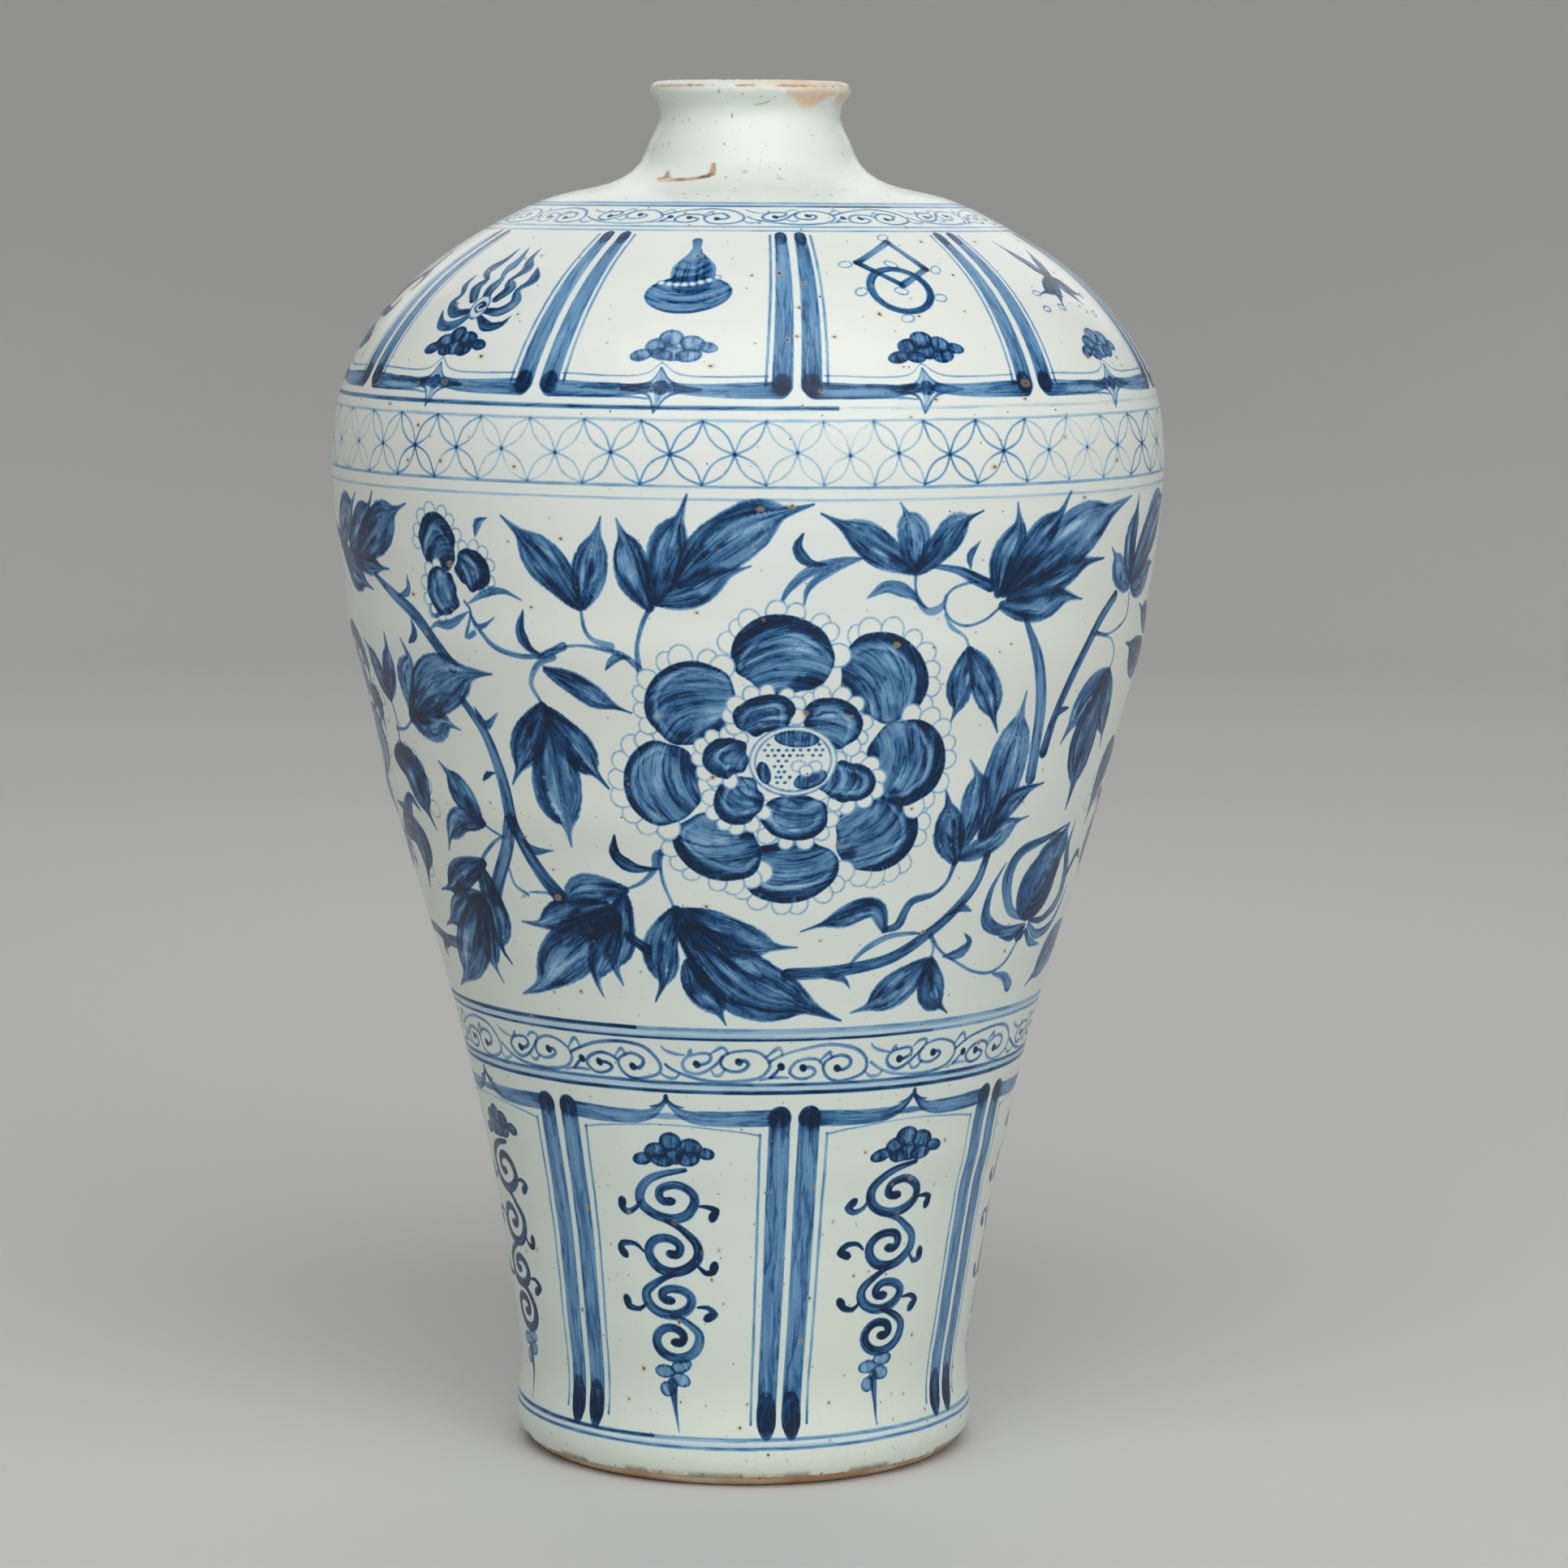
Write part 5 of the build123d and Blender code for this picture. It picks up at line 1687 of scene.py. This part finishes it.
def grit_tree():
    """Geometry nodes: small flattened grains on random points, turned to the surface."""
    group = bpy.data.node_groups.new("kiln_grit", "GeometryNodeTree")
    group.interface.new_socket("Geometry", in_out="INPUT", socket_type="NodeSocketGeometry")
    for label, kind in (
        ("Grains per square metre", "NodeSocketFloat"),
        ("Smallest radius", "NodeSocketFloat"),
        ("Largest radius", "NodeSocketFloat"),
        ("Seed", "NodeSocketInt"),
        ("Material", "NodeSocketMaterial"),
    ):
        group.interface.new_socket(label, in_out="INPUT", socket_type=kind)
    group.interface.new_socket("Geometry", in_out="OUTPUT", socket_type="NodeSocketGeometry")
    given = group.nodes.new("NodeGroupInput").outputs
    result = group.nodes.new("NodeGroupOutput")
    points = add_node(
        group,
        "GeometryNodeDistributePointsOnFaces",
        Mesh=given["Geometry"],
        Density=given["Grains per square metre"],
        Seed=given["Seed"],
    )
    grain = add_node(group, "GeometryNodeMeshUVSphere", Segments=7, Rings=4, Radius=1.0)
    flat = add_node(
        group, "GeometryNodeTransform", Geometry=grain.outputs["Mesh"], Scale=(1.0, 0.75, 0.42)
    )
    size = group.nodes.new("FunctionNodeRandomValue")
    size.data_type = "FLOAT"
    put(group, size, "_2", given["Smallest radius"])
    put(group, size, "_3", given["Largest radius"])
    put(group, size, "Seed", given["Seed"])
    turn = group.nodes.new("FunctionNodeRandomValue")
    turn.data_type = "FLOAT_VECTOR"
    put(group, turn, "_1", (0.0, 0.0, math.tau))
    spun = add_node(
        group, "FunctionNodeRotateRotation", Rotation=points.outputs["Rotation"]
    )
    spun.rotation_space = "LOCAL"
    put(group, spun, "Rotate By", turn.outputs[0])
    placed = add_node(
        group,
        "GeometryNodeInstanceOnPoints",
        Points=points.outputs["Points"],
        Instance=flat.outputs["Geometry"],
        Rotation=spun.outputs[0],
        Scale=size.outputs[1],
    )
    real = add_node(group, "GeometryNodeRealizeInstances", Geometry=placed.outputs[0])
    finish = add_node(
        group,
        "GeometryNodeSetMaterial",
        Geometry=real.outputs[0],
        Material=given["Material"],
    )
    put(group, result, "Geometry", finish.outputs[0])
    return group


def scattered(name, bed, material, **settings):
    """Runs the grit tree on a bed and keeps the result as a plain mesh."""
    carrier = new_object(name, bed)
    modifier = carrier.modifiers.new("kiln_grit", "NODES")
    modifier.node_group = grit_nodes
    inputs = [item for item in grit_nodes.interface.items_tree if item.in_out == "INPUT"]
    sockets = {item.name: item.identifier for item in inputs}
    modifier[sockets["Material"]] = material
    for label, value in settings.items():
        modifier[sockets[label.replace("_", " ")]] = value
    shaped = carrier.evaluated_get(bpy.context.evaluated_depsgraph_get())
    grains = bpy.data.meshes.new_from_object(shaped)
    carrier.modifiers.clear()
    carrier.data = grains
    bpy.data.meshes.remove(bed)
    return carrier


burnt_iron, tree, shader, object_place = new_material("burnt_iron")
tint = noise(tree, object_place, 70.0, 2.0)
crumbly = noise(tree, object_place, 2400.0, 3.0, 0.7)
iron = ramp(
    tree, tint, (0.36, srgb(44, 32, 26)), (0.5, srgb(104, 72, 44)), (0.64, srgb(188, 160, 120))
)
iron = blend(tree, ramp(tree, crumbly, (0.4, 0.0), (0.62, 0.6)), iron, srgb(206, 186, 152))
put(tree, shader, "Base Color", iron)
put(tree, shader, "Roughness", total_of(tree, product(tree, crumbly, 0.4), 0.3))
bump = add_node(tree, "ShaderNodeBump", Height=crumbly, Strength=0.6, Distance=0.0002)
put(tree, shader, "Normal", bump.outputs[0])

grit_nodes = grit_tree()
foot_grit_top = 9.0
for name, bed, density, smallest, largest, seed in (
    ("iron_specks", coarse_skin(10, 470, 16), 1100.0, 0.00012, 0.00036, 5),
    ("foot_grit", coarse_skin(glaze_edge_place, foot_grit_top, 8), 60000.0, 0.0002, 0.0006, 11),
):
    settings = {"Grains_per_square_metre": density, "Smallest_radius": smallest}
    grit = scattered(name, bed, burnt_iron, Largest_radius=largest, Seed=seed, **settings)
    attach(grit, "root")


# The studio: a pale round floor that runs up into a wall all the way round, a large soft
# lamp high in front, a weaker one low on the right and one behind for the vase's back.
# The floor's profile is given as (reach, height) in metres.
floor_mesh = bpy.data.meshes.new("floor")
sweep = bmesh.new()
profile = ((0.0, 0.0), (1.7, 0.0), (2.15, 0.04), (2.4, 0.2), (2.55, 0.5), (2.6, 1.2), (2.6, 3.2))
line = [sweep.verts.new((reach, 0, height)) for reach, height in profile]
edges = [sweep.edges.new(pair) for pair in zip(line, line[1:])]
bmesh.ops.spin(
    sweep,
    geom=line + edges,
    cent=(0, 0, 0),
    axis=(0, 0, 1),
    angle=math.tau,
    steps=96,
    use_merge=True,
)
bmesh.ops.remove_doubles(sweep, verts=sweep.verts, dist=mm)
bmesh.ops.recalc_face_normals(sweep, faces=sweep.faces)
if sum(face.normal.z * face.calc_area() for face in sweep.faces) < 0:
    bmesh.ops.reverse_faces(sweep, faces=sweep.faces)
for face in sweep.faces:
    face.smooth = True
sweep.to_mesh(floor_mesh)
sweep.free()
floor = new_object("floor", floor_mesh)
paper = bpy.data.materials.new("paper")
paper.use_nodes = True
paper_shader = paper.node_tree.nodes["Principled BSDF"]
paper_shader.inputs["Base Color"].default_value = (0.6, 0.6, 0.59, 1)
paper_shader.inputs["Roughness"].default_value = 0.9
floor.data.materials.append(paper)

world = bpy.data.worlds.new("studio")
bpy.context.scene.world = world
world.use_nodes = True
world.node_tree.nodes["Background"].inputs["Color"].default_value = (1, 1, 1, 1)
world.node_tree.nodes["Background"].inputs["Strength"].default_value = 0.05


def lamp(name, place, aim, size, power):
    light = bpy.data.lights.new(name, "AREA")
    light.shape, light.energy = "RECTANGLE", power
    light.size, light.size_y = size
    holder = new_object(name, light)
    holder.location = place
    holder.rotation_euler = (Vector(aim) - Vector(place)).to_track_quat("-Z", "Y").to_euler()


middle_of_vase = (0, 0, 0.24)
lamp("softbox", (0.1, -1.4, 1.85), middle_of_vase, (2.6, 2.1), 42)
lamp("right_fill", (1.2, -1.8, 0.8), middle_of_vase, (1.2, 1.4), 6.5)
lamp("back_fill", (0.0, 1.5, 1.5), middle_of_vase, (2.4, 1.8), 12)

# The camera stands where the photograph was taken from: 1.5 m off, about as high as the
# neck's foot. It looks slightly down, and its picture is a touch out of level.
photo_width = 1932
focal_pixels = 6018.55
down_tilt, roll = 0.118692, 0.0059858
camera_data = bpy.data.cameras.new("camera")
camera_data.sensor_width = 36
camera_data.lens = camera_data.sensor_width * focal_pixels / photo_width
camera = new_object("camera", camera_data)
camera.location = (0.011493, -1.49975, 0.38388)
camera.rotation_euler = (math.pi / 2 - down_tilt, 0, 0)
camera.rotation_euler.rotate_axis("Z", roll)
bpy.context.scene.camera = camera

bpy.context.scene.view_settings.view_transform = "Standard"
